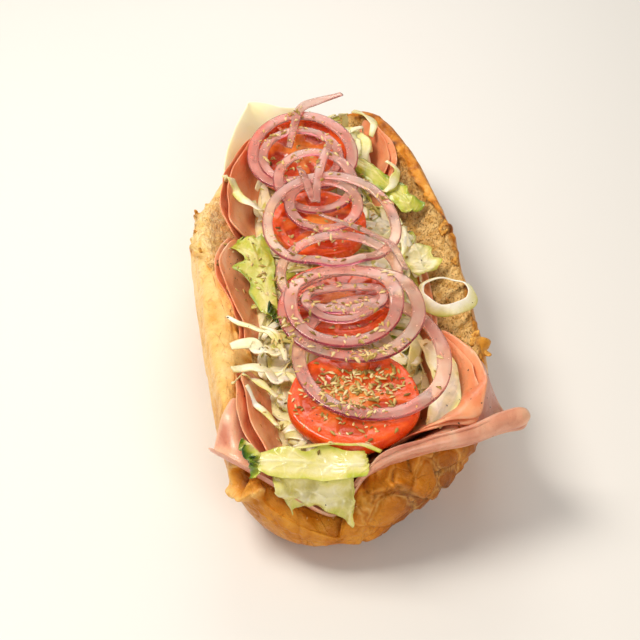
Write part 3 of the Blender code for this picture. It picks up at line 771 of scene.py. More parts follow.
def roll_grid():
    """The smooth roll as a grid of points (station, place round it), and each column's outline place."""
    y = roll_stations()
    outline, over, under = roll_outline(y)
    place = np.concatenate([k + np.arange(n) / n for k, n in enumerate(ROLL_POINTS)])
    flat = spline(outline.reshape(len(ROLL_POINTS), -1), place / len(ROLL_POINTS), closed=True)
    flat = flat.reshape(len(place), len(y), 2).transpose(1, 0, 2)
    z = np.clip(flat[..., 1], 0, None) - ROLL_NOSE_HEIGHT
    z = ROLL_NOSE_HEIGHT + z * np.where(z > 0, over[:, None], under[:, None])
    x = flat[..., 0]
    grid = np.stack([x, np.broadcast_to(y[:, None], x.shape), z], axis=-1)
    return grid, np.broadcast_to(place, x.shape)


def away_from(points, line):
    """Each point's distance from a line of straight pieces."""
    line = np.asarray(line, float)
    nearest = np.full(points.shape[:-1], 1e9)
    for start, end in zip(line[:-1], line[1:]):
        run = end - start
        t = np.clip(((points - start) @ run) / (run @ run), 0, 1)
        nearest = np.minimum(nearest, np.linalg.norm(points - start - t[..., None] * run, axis=-1))
    return nearest


def bell(value, middle, half):
    """1 at the middle and nothing far from it."""
    return np.exp(-(((value - middle) / half) ** 2))


def roll_zones(grid, place):
    """The kinds of surface over the roll, as shares from 0 to 1. edge is how far the cut's edge is, in
    places along the outline."""
    x, y, _ = np.moveaxis(grid, -1, 0)
    fray = (0.28 * noise(grid, 5, 1, 3) + 0.15 * noise(grid, 16, 12)) * (0.4 + 0.6 * ease(-112, -96, y))
    past_start = place - along(y, CRUMB_START) + fray
    past_end = place - along(y, CRUMB_END) + fray
    edge = np.minimum(np.abs(past_start), np.abs(past_end))
    near_end = ease(-94, -106, y)
    return SimpleNamespace(
        crumb=ease(-0.05, 0.12, past_start) * ease(0.12, -0.05, past_end),
        edge=edge,
        rim=bell(edge, 0, 0.30) * (1 - near_end),
        rough=ease(5.2, 6.2, place) * ease(8.6, 7.6, place) * (1 - near_end),
        near_end=near_end,
        near_right=near_end * ease(-10, 0, x) * ease(10.0, 9.6, place),
        torn_left=ease(14, 26, y) * ease(84, 72, y),
        side=ease(10, -30, x),
    )


def add_splits(grid, zones, lift, wobble):
    """The splits in the crust and, at the near right, a ledge and the plates between the splits. Gives
    the relief; how pale the crust is torn, with a painted highlight on the ledge's edge; and the painted
    shade in the splits, under the ledge and between the plates."""
    x, _, z = np.moveaxis(grid, -1, 0)
    pale_tear_and_highlight, split_shade = np.zeros_like(x), np.zeros_like(x)
    for half, depth, paleness, line in CRACKS:
        away = away_from(grid + wobble, line)
        groove = bell(away, 0, half)
        lift = lift - depth * groove + 0.35 * depth * bell(away, half * 3.0, half * 1.6)
        pale_tear_and_highlight = np.maximum(pale_tear_and_highlight, paleness * bell(away, half, half))
        # Painted shade in the splits.
        split_shade = np.maximum(split_shade, (1 - 0.7 * paleness) * groove)
    above = z - np.interp(x, *zip(*LEDGE))
    ledge = zones.near_right * ease(-1, 4, x)
    lift += 2.2 * ledge * ease(-0.5, 0.5, above + wobble[..., 0] * 0.8) * ease(9, 4, above)
    # Painted shade under the ledge's overlap.
    split_shade = np.maximum(split_shade, 0.55 * ledge * bell(above, -0.9, 0.7))
    # Painted highlight: a pale line along the ledge's upper edge.
    pale_tear_and_highlight = np.maximum(pale_tear_and_highlight, 0.25 * ledge * bell(above, 0.9, 0.5) * ease(10, 14, x))
    nearest, second = cells(grid + 1.5 * wobble, 12, 23)
    apart = second - nearest
    uneven = 0.5 * noise(grid, 9, 15) + 0.3 * noise(grid, 3.2, 18, 2)
    lift += zones.near_right * (1.3 * ease(0, 0.3, apart) + uneven)
    torn = bell(apart, 0.09, 0.05) * ease(-0.2, 0.2, noise(grid, 8, 24))
    pale_tear_and_highlight = np.maximum(pale_tear_and_highlight, 0.5 * zones.near_right * torn)
    # Painted shade in the narrow cracks between the plates.
    split_shade = np.maximum(split_shade, 0.45 * zones.near_right * bell(apart, 0, 0.035))
    return lift, pale_tear_and_highlight, split_shade


def torn_fold(grid, crust, wobble):
    """The torn fold at the near left: its bulge, its hollow and its lip, as shares from 0 to 1."""
    flat = grid.reshape(-1, 3)
    nearest = [np.linalg.norm(flat - spot, axis=1).argmin() for spot in (FOLD, *FOLD_LIP)]
    middle, *lip_line = flat[nearest]
    away = np.linalg.norm(grid - middle, axis=-1) + 1.4 * noise(grid, 5, 17, 3)
    lip = bell(away_from(grid + 1.2 * wobble, lip_line), 0, 1.5)
    return bell(away, 2, 8) * crust, ease(5.5, 2.5, away) * crust, lip * crust


def build_roll(material):
    grid, place = roll_grid()
    x, y, z = np.moveaxis(grid, -1, 0)
    zones = roll_zones(grid, place)
    crust = 1 - zones.crumb
    wobble = 0.9 * noise(grid, 4, 14, 2)[..., None]

    lift = 0.8 * noise(grid, 30, 2, 2) + 0.26 * noise(grid, 7, 3, 3) + 0.12 * noise(grid, 2.6, 19, 2)
    wrinkle = ease(0.16, 0.0, np.abs(noise(grid * (1, 0.4, 1), 11, 13, 2))) * zones.side
    lift -= 0.45 * wrinkle
    lift = lift * crust * ease(1, 6, z)
    # The near end's two lobes bulge into the notch between them.
    lift += 1.6 * zones.near_end * bell(place, 9.0, 0.6)
    lift, pale_tear_and_highlight, split_shade = add_splits(grid, zones, lift, wobble)
    lift += zones.near_end * crust * 0.3 * noise(grid, 2.2, 25, 2)
    for spot, radius, height in KNOBS:
        away = np.linalg.norm(grid - spot, axis=-1)
        lift += height * bell(away, 0, radius) * (1 + 0.5 * noise(grid, 3, 16))
    bulge, hollow, lip = torn_fold(grid, crust, wobble)
    hollow_depth = 1.2 * noise(grid, 2.6, 30, 2) - 5.6
    lift += 3.6 * bulge + hollow * hollow_depth + lip * (3.6 + 2.6 * noise(grid, 3.4, 31, 2))
    big, _ = cells(grid, 4.4, 21)
    small, _ = cells(grid, 1.9, 22)
    torn = 1.0 * ease(0.15, 0.5, big) + 0.6 * ease(0.1, 0.5, small) - 1.2 + 1.0 * noise(grid, 10, 5, 2)
    lift += torn * zones.crumb * (0.55 + 0.45 * ease(-30, 0, x))
    ragged = np.clip(noise(grid, 2.6, 6, 3) + 0.6 * noise(grid, 9, 7), -0.5, 1)
    lift += zones.rim * (2.1 * ragged + 0.4) * (0.5 + 0.5 * ease(-70, -30, y))
    lift += zones.rough * (0.6 * noise(grid, 3.4, 27, 3) + 0.5 * noise(grid, 8, 28))
    points = grid + grid_normals(grid, wrap_columns=True) * lift[..., None]
    # The near end's lobes rise at the two sides of the notch.
    points[..., 2] += 5.5 * zones.near_end * bell(place, 12.4, 0.9) * ease(-131, -124, y)
    points[..., 2] += 2.0 * zones.near_end * bell(place, 9.0, 0.8) * ease(-128, -120, y)
    points[..., 2] = np.where(z < 0.3, 0.0, np.maximum(points[..., 2], 0))

    edge, side = zones.edge, zones.side
    browning_and_shade = 0.34 + 0.07 * ease(-78, -112, y) + 0.16 * noise(grid, 26, 9, 3)
    browning_and_shade += 0.2 * ease(60, 90, y) * (1 - side) + 0.14 * (1 - side)
    browning_and_shade += 0.12 * ease(26, 8, z) * side - 0.16 * side * ease(-85, -40, y)
    # Painted shade: the near right lobe is darker, and more so towards its bottom.
    painted_shade_right = zones.near_right * ease(-8, 16, x) * (0.13 + 0.09 * ease(42, 16, z))
    # Painted shade darkens the fold's hollow, the splits and the crust's wrinkles; painted highlights
    # make the fold's lip and bulge paler.
    browning_and_shade += 0.4 * hollow - 0.2 * lip - 0.12 * bulge + 0.22 * split_shade + 0.06 * wrinkle + painted_shade_right
    blotches = zones.near_end * (0.05 + 0.12 * noise(grid, 7, 26, 2))
    browning_and_shade += blotches + 0.3 * zones.rough * noise(grid, 4, 29, 2)
    browning_and_shade += 0.35 * zones.rim * ease(0.0, 0.5, noise(grid, 5, 10, 2)) * ease(-70, -50, y)
    toast = bell(edge, 0, 0.34) * ease(-0.35, 0.35, noise(grid, 5, 11, 2)) * ease(-100, -80, y)
    toast = np.clip(toast + 0.5 * ease(0.6, 0.1, edge) * (1 - side) * ease(-90, -60, y), 0, 1)
    values = {
        "crumb": zones.crumb,
        "browning_and_shade": np.clip(browning_and_shade, 0, 1),
        # Pale torn crust, with painted highlights on the ledge's edge and the fold's lip, kept out of the
        # painted shade in the splits.
        "pale_tear_and_highlight": np.clip(np.maximum(pale_tear_and_highlight, 0.85 * lip) * (1 - 0.8 * split_shade), 0, 1),
        "toast": toast,
        "white": np.clip(zones.torn_left + 0.6 * ease(-120, -60, y), 0, 1) * ease(0, -20, x),
    }
    rows, columns = x.shape
    count = rows * columns
    tips = np.array([points[0].mean(axis=0), points[-1].mean(axis=0)])
    faces = list(map(tuple, grid_faces(rows, columns, wrap_columns=True)))
    last = count - columns
    for k in range(columns):
        onward = (k + 1) % columns
        faces.append((count, onward, k))
        faces.append((count + 1, last + k, last + onward))
    points = np.vstack([points.reshape(-1, 3), tips]) + SHIFT
    values = {label: np.append(v.ravel(), [v[0].mean(), v[-1].mean()]) for label, v in values.items()}
    make_piece("roll", points, faces, material, "crust", ["bread_roll"], values)


# ---------------------------------------------------------------- ham and cheese

def build_sheet(
    node, paint, slot, levels, waves, seed, edge_width, name=None, offset=(0, 0, 0), corners=0.0,
):
    """A soft sheet over a CAD sheet, with waves, of a height and a length, that grow towards its edges.
    With a name and an offset it is a further slice, which lies on the first. corners is the size of the
    rounded tips that are drawn out again."""
    points, faces, edge = softened(node, levels)
    if corners:
        sharp = cad_points(node)
        for axis, way in ((0, -1), (1, 1)):
            tip = sharp[np.argmax(way * sharp[:, axis])]
            found = points[np.argmax(way * points[:, axis])]
            near = bell(np.linalg.norm(points - found, axis=1), 0, corners * 2)
            points = points + near[:, None] * (tip - found)
    spread = ease(16, 2, edge)
    wave_height, wave_length = waves
    shake = drift(points, wave_length, seed, 2)
    shake[:, 2] *= 0.8
    moved = points + shake * (0.25 + spread[:, None]) * wave_height + np.array(offset)
    values = {
        "edge": ease(edge_width, 0.3, edge) * 0.7,
        # Painted shade: darker noise patches that stand for the slice's folds.
        "fold": np.clip(noise(points, 16, seed + 9, 2) - 0.15, 0, 1) * 0.9,
    }
    make_piece(name or node, moved, faces, paint, slot, [] if name else [node], values)


# The rolled edge of the front slice: its centre line and how thick it is.
HAM_ROLL = (
    (-4, -121, 38), (4, -119.5, 47), (14, -117, 51), (28, -114.5, 52), (44, -110.5, 51.5), (58, -104, 50),
    (70.5, -99, 48),
)
HAM_ROLL_RADII = (0.9, 1.9, 2.6, 3.2, 3.7, 4.3, 4.6)
HAM_ROLL_SEAM = 1.9


def build_ham_roll(material):
    """The rolled edge: a tapered, slightly flattened roll whose end shows the spiral of the slice."""
    count, around = 110, 40
    path = evenly(HAM_ROLL, count)
    radius = np.interp(np.linspace(0, 1, count), np.linspace(0, 1, len(HAM_ROLL_RADII)), HAM_ROLL_RADII)
    _, side, up = path_frame(path)
    angle = np.linspace(0, 2 * math.pi, around, endpoint=False)
    station = np.arange(count)
    round_end = np.sqrt(np.clip(1 - np.clip((station - (count - 9)) / 9, 0, 1) ** 2, 0.02, 1))
    at_seam = np.abs(angle - HAM_ROLL_SEAM)
    lap = 0.35 * ease(0.3, 0.0, at_seam) * np.sign(HAM_ROLL_SEAM - angle)
    uneven = 1 + 0.05 * np.sin(3 * angle + 1)
    reach = (radius * round_end)[:, None] * uneven[None] + lap[None] * round_end[:, None]
    points = (
        path[:, None]
        + side[:, None] * (np.cos(angle)[None, :, None] * reach[..., None] * 0.9)
        + up[:, None] * (np.sin(angle)[None, :, None] * reach[..., None])
    )
    points = points + 0.35 * drift(points, 9, 360, 2)
    seam = np.clip(0.5 * ease(0.4, 0.0, at_seam) + 0.2 * noise(points, 12, 364), 0, 1)
    values = {
        "edge": np.repeat(0.25 + 0.5 * ease(count - 14, count - 2, station), around),
        # Painted shade along the seam where the slice laps over itself.
        "fold": seam.ravel() * 0.5,
    }
    points = points.reshape(-1, 3) + SHIFT
    make_piece("ham_front_roll", points, band_faces(count, around, False), material, "ham", (), values)


def build_ham_and_cheese():
    # The front slice's ham is pinker, and darker as painted shade.
    ham, front = ham_material("ham", FOLDED_HAM), ham_material("front_ham_shaded", FRONT_HAM_SHADED)
    for node, seed, waves, upper_waves, offset in (
        ("ham_far", 31, (2.0, 15), (1.5, 15), (3.0, -1.5, 1.4)),
        ("ham_middle", 41, (1.8, 17), (1.4, 17), (3.2, -2.5, 1.2)),
        ("ham_near", 51, (1.7, 16), (1.2, 15), (3.0, 2.0, 1.2)),
    ):
        build_sheet(node, ham, "ham", 3, waves, seed, 2.0)
        build_sheet(node, ham, "ham", 2, upper_waves, seed + 5, 2.0, f"{node}_upper", offset)
    build_sheet("ham_front", front, "ham", 3, (0.7, 22), 61, 3.5)
    build_ham_roll(front)
    build_sheet("cheese_slice", cheese_material(), "cheese", 3, (0.8, 40), 71, 1.6, corners=2.5)


# ---------------------------------------------------------------- bands: rings, strips and shreds

def path_frame(path, closed=False, above=(0, 0, 1)):
    """The ways ahead, to the side and up at each point of a path."""
    if closed:
        heading = np.roll(path, -1, axis=0) - np.roll(path, 1, axis=0)
    else:
        heading = np.gradient(path, axis=0)
    heading = unit(heading)
    side = unit(np.cross(heading, above))
    return heading, side, np.cross(side, heading)


def narrowing(count, start, power):
    """The share of its width that a strip has along it, narrower towards both ends."""
    return np.sin(np.linspace(start, math.pi - start, count)) ** power


def band_faces(stations, around, closed):
    """The faces of a band, with its ends shut where it is open."""
    faces = list(map(tuple, grid_faces(stations, around, closed, True)))
    if not closed:
        last = (stations - 1) * around
        faces += [tuple(range(around)), tuple(last + k for k in reversed(range(around)))]
    return faces


def band(path, width, thickness, around, closed, roll=None):
    """A band with a rounded cross-section along a path: its points, its faces, and each point's place
    across it, from -1 inside to 1 outside, and up it."""
    _, side, up = path_frame(path, closed)
    if roll is not None:
        turn = np.asarray(roll)[:, None]
        side, up = side * np.cos(turn) + up * np.sin(turn), up * np.cos(turn) - side * np.sin(turn)
    angle = np.linspace(0, 2 * math.pi, around, endpoint=False) + math.pi / around
    across = np.sign(np.cos(angle)) * np.abs(np.cos(angle)) ** 0.45
    rise = np.sign(np.sin(angle)) * np.abs(np.sin(angle)) ** 0.55
    width, thickness = (np.broadcast_to(size, len(path))[:, None, None] for size in (width, thickness))
    points = (
        path[:, None]
        + side[:, None] * (across[None, :, None] * width / 2)
        + up[:, None] * (rise[None, :, None] * thickness / 2)
    )
    across, rise = (np.tile(share, len(path)) for share in (across, rise))
    return points.reshape(-1, 3), band_faces(len(path), around, closed), across, rise


def ring_centre_line(node, stations):
    """The centre line of a closed CAD band, and its usual width and thickness."""
    points = cad_points(node)
    middle = (points.min(axis=0) + points.max(axis=0)) / 2
    half = (points.max(axis=0) - points.min(axis=0)) / 2
    angle = np.arctan2((points[:, 1] - middle[1]) / half[1], (points[:, 0] - middle[0]) / half[0])
    group = np.round(angle / (2 * math.pi / stations)).astype(int) % stations
    line = np.array([points[group == k].mean(axis=0) for k in range(stations)])
    widths, heights = [], []
    for k in range(stations):
        own = points[group == k]
        widths.append(np.ptp(np.linalg.norm(own[:, :2] - middle[:2], axis=1)))
        heights.append(np.ptp(own[:, 2]))
    return line, float(np.median(widths)), float(np.median(heights))


def strip_centre_line(node):
    """The centre line of an open CAD band that runs mainly along X or along Y."""
    points = cad_points(node)
    longer = int(np.ptp(points[:, 1]) > np.ptp(points[:, 0]))
    ordered = points[np.argsort(points[:, longer])]
    return np.array([ordered[4 * k:4 * k + 4].mean(axis=0) for k in range(STRIP_STATIONS)])


def onion_values(points, across, rise, seed, depth=1.0):
    broken = noise(points, 14, seed)
    skin = ease(0.8, 0.9, across) * ease(-0.7, -0.1, rise) * (0.95 + 0.4 * broken)
    line = 0.2 + 0.15 * broken
    return {
        "skin": np.clip(skin, 0, 1) * depth,
        "inside": ease(-0.75, -0.98, across) * 0.5,
        "layers": bell(across, line, 0.07) * ease(0.2, 0.7, rise) * ease(-0.5, 0.3, broken),
    }


# How many stations the CAD script gives a ring, the curl and a strip.
RING_STATIONS = 26
CURL_STATIONS = 18
STRIP_STATIONS = 10


def nodes_named(start):
    return sorted(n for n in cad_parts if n.startswith(start))


def build_onion_rings(material):
    for number, node in enumerate(nodes_named("onion_ring")):
        line, width, thickness = ring_centre_line(node, RING_STATIONS)
        path = evenly(line, 150, closed=True)
        outward = unit((path - path.mean(axis=0)) * (1, 1, 0))
        path = path + outward * (0.5 * noise(path, 16, 80 + number))[:, None]
        path[:, 2] += 0.25 * noise(path, 14, 95 + number)
        widths = width * (1 + 0.12 * noise(path, 20, 110 + number))
        points, faces, across, rise = band(path, widths, thickness * 0.9, 18, True)
        values = onion_values(points, across, rise, 130 + number)
        make_piece(node, points, faces, material, "onion", [node], values)


def build_onion_strips(material):
    for number, node in enumerate(nodes_named("onion_strip")):
        path = evenly(strip_centre_line(node), 70)
        taper = narrowing(70, 0.35, 0.4)
        lean = -0.35 + 0.4 * noise(path, 18, 160 + number)
        points, faces, across, rise = band(path, 4.6 * taper, 1.5 * taper, 14, False, lean)
        values = onion_values(points, across, rise, 150 + number, 0.6)
        make_piece(node, points, faces, material, "onion", [node], values)


# ---------------------------------------------------------------- tomato slices

# How many seed pockets each slice has, and how plainly they show.
POCKETS = {
    "tomato_slice_1": (6, 0.8),
    "tomato_slice_2": (5, 0.9),
    "tomato_slice_3": (6, 0.8),
    "tomato_slice_4": (7, 0.6),
}


def build_tomato(node, pockets, plainness, seed, material):
    """A slice with skin round its edge, a pale core and pockets of jelly between its walls."""
    points = cad_points(node)
    centre = points.mean(axis=0)
    spread = points - centre
    square = np.linalg.svd(spread, full_matrices=False)[2][2]
    square = square if square[2] > 0 else -square
    ahead = unit(np.cross(square, (1, 0, 0)))
    sideways = np.cross(ahead, square)
    half_x, half_y, half_thick = (np.abs(spread @ axis).max() for axis in (sideways, ahead, square))
    half_thick *= 0.96
    turns, rings, side_rows, under_rows = 176, 50, 9, 8
    angle = np.linspace(0, 2 * math.pi, turns, endpoint=False)
    share = np.linspace(0.02, 1, rings) ** 0.9
    a, r = np.meshgrid(angle, share, indexing="ij")
    wobble = 1 + 0.02 * np.sin(2 * a + seed) + 0.015 * np.sin(5 * a + 2 * seed)
    top = np.stack(
        [r * np.cos(a) * half_x * wobble, r * np.sin(a) * half_y * wobble, 0 * a + 30 * seed], axis=-1
    )
    sway = 0.28 * noise(top, 9, seed) + 0.12 * noise(top, 4, seed + 1)
    beat = np.cos(pockets * (a + 0.35 * np.sin(a + seed) + sway * 0.6))
    jelly = ease(-0.15, 0.35, beat) * ease(0.26, 0.36, r + 0.05 * sway)
    jelly *= ease(0.84, 0.76, r + 0.06 * sway)
    ribs = 0.35 * plainness * ease(-0.3, -0.9, beat) * ease(0.9, 0.5, r)
    core = 0.8 * ease(0.5, 0.05, r + 0.15 * sway) + ribs
    bend = np.where(r > 0.93, np.sqrt(np.clip(1 - ((r - 0.93) / 0.07) ** 2, 0, 1)), 1)
    relief = 0.22 * noise(top, 3, seed + 3, 2)
    height = half_thick * (0.72 + 0.28 * bend) - 0.9 * plainness * jelly + relief
    top[..., 2] = height - 0.3 * ease(0.25, 0.0, r)
    rim = top[:, -1:]

    fall = np.linspace(0, 1, side_rows + 1)[1:]
    sides = np.repeat(rim, side_rows, axis=1)
    sides[..., :2] *= (1 + 0.012 * np.sin(fall * math.pi))[:, None]
    sides[..., 2] = rim[..., 2] * (1 - fall) - half_thick * 0.8 * fall
    shrink = np.linspace(0.985, 0.05, under_rows)
    under = np.repeat(rim, under_rows, axis=1)
    under[..., :2] *= shrink[:, None]
    under[..., 2] = -half_thick * ease(0.0, 0.1, 1 - shrink) * 0.2 - half_thick * 0.8
    grid = np.concatenate([top, sides, under], axis=1)

    def all_over(on_top, on_side=0, underneath=0):
        """A value for each point, from one over the top and plain ones round the side and underneath."""
        plain = np.repeat([on_side, underneath], [side_rows, under_rows])
        return np.hstack([on_top, np.tile(plain, (turns, 1))]).ravel()

    values = {
        "jelly": all_over(jelly * plainness),
        "wall": all_over(ease(0.6, 0.86, r + 0.1 * sway), 1, 1),
        "core": all_over(np.clip(core, 0, 1)),
        "skin": all_over(ease(0.955, 0.985, r), 1),
    }
    columns = grid.shape[1]
    u, v, w = np.moveaxis(grid.reshape(-1, 3)[..., None], 1, 0)
    faces = list(map(tuple, grid_faces(turns, columns, wrap_rows=True)))
    faces.append(tuple(k * columns for k in range(turns)))
    faces.append(tuple(k * columns + columns - 1 for k in reversed(range(turns))))
    placed = centre + u * sideways + v * ahead + w * square
    make_piece(node, placed, faces, material, "tomato", [node], values)


# ---------------------------------------------------------------- lettuce

# Each leaf: its two long edges, where the CAD script models it, its shade of green in the middle and at
# its edges, the height of its folds, how many there are, and how far it reaches towards its first and
# its second edge, as (place along it, share) knots.
EVEN_START = ((0, 0.05), (0.3, -0.03), (0.6, 0.04), (0.8, -0.02), (1, 0.06))
EVEN_END = ((0, 0.93), (0.25, 1.03), (0.5, 0.94), (0.75, 1.04), (1, 0.92))
LEAVES = {
    "lettuce_leaf_left": (
        ((-42, 33, 47), (-41, 14, 47), (-37, -6, 46), (-35, -20, 44)),
        ((-29, 36, 46), (-25, 13, 46), (-26, -14, 46), (-28, -24, 45)),
        0.48, 0.64, 1.5, 1.3,
        (
            (0, 0.2), (0.08, -0.4), (0.2, -0.05), (0.3, 0.15), (0.4, -0.3), (0.55, 0.05), (0.7, -0.15),
            (1, 0.2),
        ),
        EVEN_END,
    ),
    "lettuce_leaf_far_right": (
        ((16, 89, 48), (28, 70, 48), (37, 55, 46), (40, 46, 44)),
        ((24, 92, 49), (37, 76, 48), (48, 60, 46), (53, 49, 45)),
        0.52, 0.7, 2.0, 1.7, EVEN_START,
        ((0, 0.8), (0.15, 1.1), (0.3, 0.85), (0.5, 1.15), (0.65, 0.85), (0.85, 1.1), (1, 0.8)),
    ),
    "lettuce_leaf_right": (
        ((34, 20, 44), (36, 8, 45), (40, -2, 44)),
        ((47, 24, 44), (52, 12, 45), (53, 4, 44)),
        0.32, 0.55, 1.2, 1.4, EVEN_START,
        ((0, 0.8), (0.2, 1.1), (0.5, 0.85), (0.7, 1.08), (1, 0.8)),
    ),
    "lettuce_leaf_near_right": (
        ((32, -48, 48), (35, -62, 47), (34, -80, 47), (27, -101, 47)),
        ((43, -52, 48), (47, -68, 48), (45, -86, 48), (33, -104, 48)),
        0.1, 0.3, 1.0, 1.2, EVEN_START, EVEN_END,
    ),
    "lettuce_leaf_front": (
        ((-45, -110, 50), (-28, -111, 51), (-12, -113, 52), (2, -116, 51)),
        ((-42, -120, 48), (-28, -124, 48), (-12, -127, 48), (2, -125, 50)),
        0.32, 0.52, 1.0, 1.4,
        ((0, 0.25), (0.1, 0.0), (0.3, -0.1), (0.45, 0.08), (0.6, -0.12), (0.8, 0.02), (1, -0.15)),
        ((0, 0.8), (0.15, 1.0), (0.5, 0.95), (0.8, 1.02), (0.93, 1.1), (1, 0.75)),
    ),
    "lettuce_leaf_notch": (
        ((-38, -117, 46), (-24, -120, 46), (-13, -123, 46), (-4, -123, 46)),
        ((-29, -126, 31), (-28, -127.5, 28), (-14, -129.5, 26), (-4, -129.5, 26)),
        0.32, 0.5, 2.1, 2.2, EVEN_START,
        (
            (0, 0.6), (0.07, 0.95), (0.14, 1.02), (0.24, 0.84), (0.36, 0.76), (0.5, 0.62), (0.62, 0.74),
            (0.8, 0.9), (0.93, 1.02), (1, 0.92),
        ),
    ),
}


# The leaf that hangs down from under the front one, over what it touches. Each other one is raised to
# lie where its CAD node does.
HANGING = ("lettuce_leaf_notch",)


def blurred(grid, times):
    """A grid of vectors, each one averaged with its neighbours."""
    for _ in range(times):
        for axis in (0, 1):
            ends = [(1, 1) if k == axis else (0, 0) for k in range(grid.ndim)]
            padded = np.pad(grid, ends, mode="edge")
            count = grid.shape[axis]
            before, after = (padded.take(np.arange(k, k + count), axis) for k in (0, 2))
            grid = (before + 2 * grid + after) / 4
    return grid


def draped(grid, tree, gap):
    """A grid of points, pushed out along its mean normal until the tree's faces are a gap away."""
    out = grid_normals(grid).mean(axis=(0, 1))
    out = out / np.linalg.norm(out) * (1 if out[2] > 0 else -1)
    far = 40.0
    push = np.zeros(grid.shape[:2])
    for i, j in np.ndindex(push.shape):
        distance = tree.ray_cast(Vector(grid[i, j] + out * far), Vector(-out))[3]
        if distance is not None:
            push[i, j] = np.clip(far - distance + gap, 0, 8)
    return grid + out * blurred(push, 2)[..., None]


def plate(grid, thickness):
    """A thin solid under a grid of points. Its thickness may differ from point to point."""
    rows, columns = grid.shape[:2]
    across = blurred(grid_normals(grid), 6)
    under = grid - across * np.broadcast_to(thickness, (rows, columns))[..., None]
    top = grid_faces(rows, columns)
    bottom = top[:, ::-1] + rows * columns
    index = np.arange(rows * columns).reshape(rows, columns)
    rim = np.concatenate([index[0, :-1], index[:-1, -1], index[-1, :0:-1], index[:0:-1, 0]])
    onward = np.roll(rim, -1)
    sides = np.stack([rim, onward, onward + rows * columns, rim + rows * columns], axis=-1)
    points = np.vstack([grid.reshape(-1, 3), under.reshape(-1, 3)])
    return points, list(map(tuple, np.vstack([top, bottom, sides])))


def crumple(u, v, seed, folds):
    """The relief of a lettuce leaf over (u, v) from 0 to 1: folds across it, a main rib along its
    middle and side ribs that branch off. Gives the folds' height and the ribs' strength."""
    place = np.stack([u * 2.2, v * 1.3, 0 * u + seed], axis=-1)
    sway = noise(place, 1.0, seed, 2)
    wave = np.sin(2 * math.pi * (folds * u + 0.45 * sway + 0.2 * v))
    middle = 0.5 + 0.12 * np.sin(4 * u + seed)
    rib = bell(v, middle, 0.045) * (1 - 0.6 * u)
    beat = (5.5 * u + 2.2 * np.abs(v - middle) + 0.3 * sway) % 1
    branches = bell(beat, 0.5, 0.07) * ease(0.52, 0.2, np.abs(v - middle))
    return 0.7 * wave + 0.6 * sway, np.clip(rib + 0.6 * branches, 0, 1)


def build_leaf(node, seed, material, first, second, middle, rim, height, folds, start_reach, end_reach):
    rows, columns = 96, 38
    u, v = unit_grid(rows, columns)
    frays = [
        0.05 * noise(np.stack([t * 9, 0 * t + k, 0 * t], axis=-1), 1.0, seed + k, 3)
        for k, t in enumerate((v, v, u, u))
    ]
    along_it = frays[0] + 0.03 + u * (0.94 + frays[1] - frays[0])
    v_start = along(along_it, start_reach) + frays[2]
    v_end = along(along_it, end_reach) + frays[3]
    down = v_start + v * (v_end - v_start)
    held = np.clip(along_it, 0, 1).ravel()
    start = spline(first, held).reshape(rows, columns, 3)
    end = spline(second, held).reshape(rows, columns, 3)
    grid = start + (end - start) * down[..., None] + SHIFT
    if node in HANGING:
        grid = draped(grid, shown_tree("ham_front", "roll"), 2.2)
    else:
        tree = cad_tree(node)
        spots = grid[::2, ::3].reshape(-1, 3)
        hits = [dropped(tree, *spot[:2])[0] for spot in spots]
        grid[..., 2] += np.median([hit.z - spot[2] for hit, spot in zip(hits, spots) if hit is not None])
    if grid_normals(grid)[..., 2].mean() < 0:
        grid, u, v, down = (a[:, ::-1] for a in (grid, u, v, down))
    edge = np.minimum(np.minimum(u, 1 - u) * 3, np.minimum(v, 1 - v))
    loose = ease(0.3, 0.0, edge)
    wave, ribs = crumple(along_it, down, seed, folds)
    rise = height * (wave * (1 - 0.5 * loose) + 1.2 * loose * noise(grid, 7, seed + 11, 2)) + 0.45 * ribs
    grid = grid + blurred(grid_normals(grid), 4) * rise[..., None]
    shade = middle + (rim - middle) * loose - 0.12 * ribs + 0.14 * noise(grid, 9, seed + 16, 2)
    thickness = 0.35 + 0.4 * ease(0.0, 0.2, edge)
    make_lettuce(node, plate(grid, thickness), np.tile(shade.ravel(), 2), material, [node])


# Loose strands on top of the heap and the ham, where the CAD script models them: (centre line, width).
STRANDS = (
    (((-49, -24, 47), (-43.5, -30, 48), (-38, -34, 48.5), (-31, -39, 49), (-24.5, -55, 49)), 3.4),
    (((-34, -34, 49), (-29, -39, 49.5), (-27, -45, 50), (-26, -58, 50)), 3.0),
    (((-49.5, -67, 47.5), (-45, -67.5, 48.5), (-39, -68, 49), (-31.5, -79, 49)), 4.2),
    (((-44, -76, 47), (-41, -80, 48), (-36, -88, 48), (-32, -94, 48)), 3.6),
    (((38.5, 41, 46.5), (38.3, 24, 47.5), (36, 14, 47.5), (33, 8, 47)), 2.6),
    (((27, 132, 50), (32, 126, 51.5), (36, 117, 51), (33, 108, 50)), 5.0),
    (((-26, -110, 51.5), (-12, -110.5, 52.5), (0, -113, 53), (7, -116.5, 52.5)), 4.5),
    (((38, 86, 49), (42, 77, 50), (39, 66, 49), (34, 60, 48.5)), 4.4),
    (((-45, 78, 50), (-41, 70, 50), (-38, 62, 50), (-33, 55, 49.5), (-28, 50, 49)), 5.5),
)
# Curly green tips: (path, width, how far the ruffles swing).
FRILLS = {
    "lettuce_frill_front": (
        ((-47, -106, 53), (-45, -110, 52), (-42, -113, 50), (-43, -117, 48), (-44, -119, 46)), 6.5, 1.3,
    ),
    "lettuce_frill_left": (((-29, -18, 47), (-27, -24, 49), (-25, -30, 48)), 6.0, 1.2),
}


def make_lettuce(name, shape, green, material, nodes=()):
    """A piece from a (points, faces) shape. green is for each point."""
    make_piece(name, *shape, material, "lettuce", nodes, {"green": np.clip(green, 0, 1)})


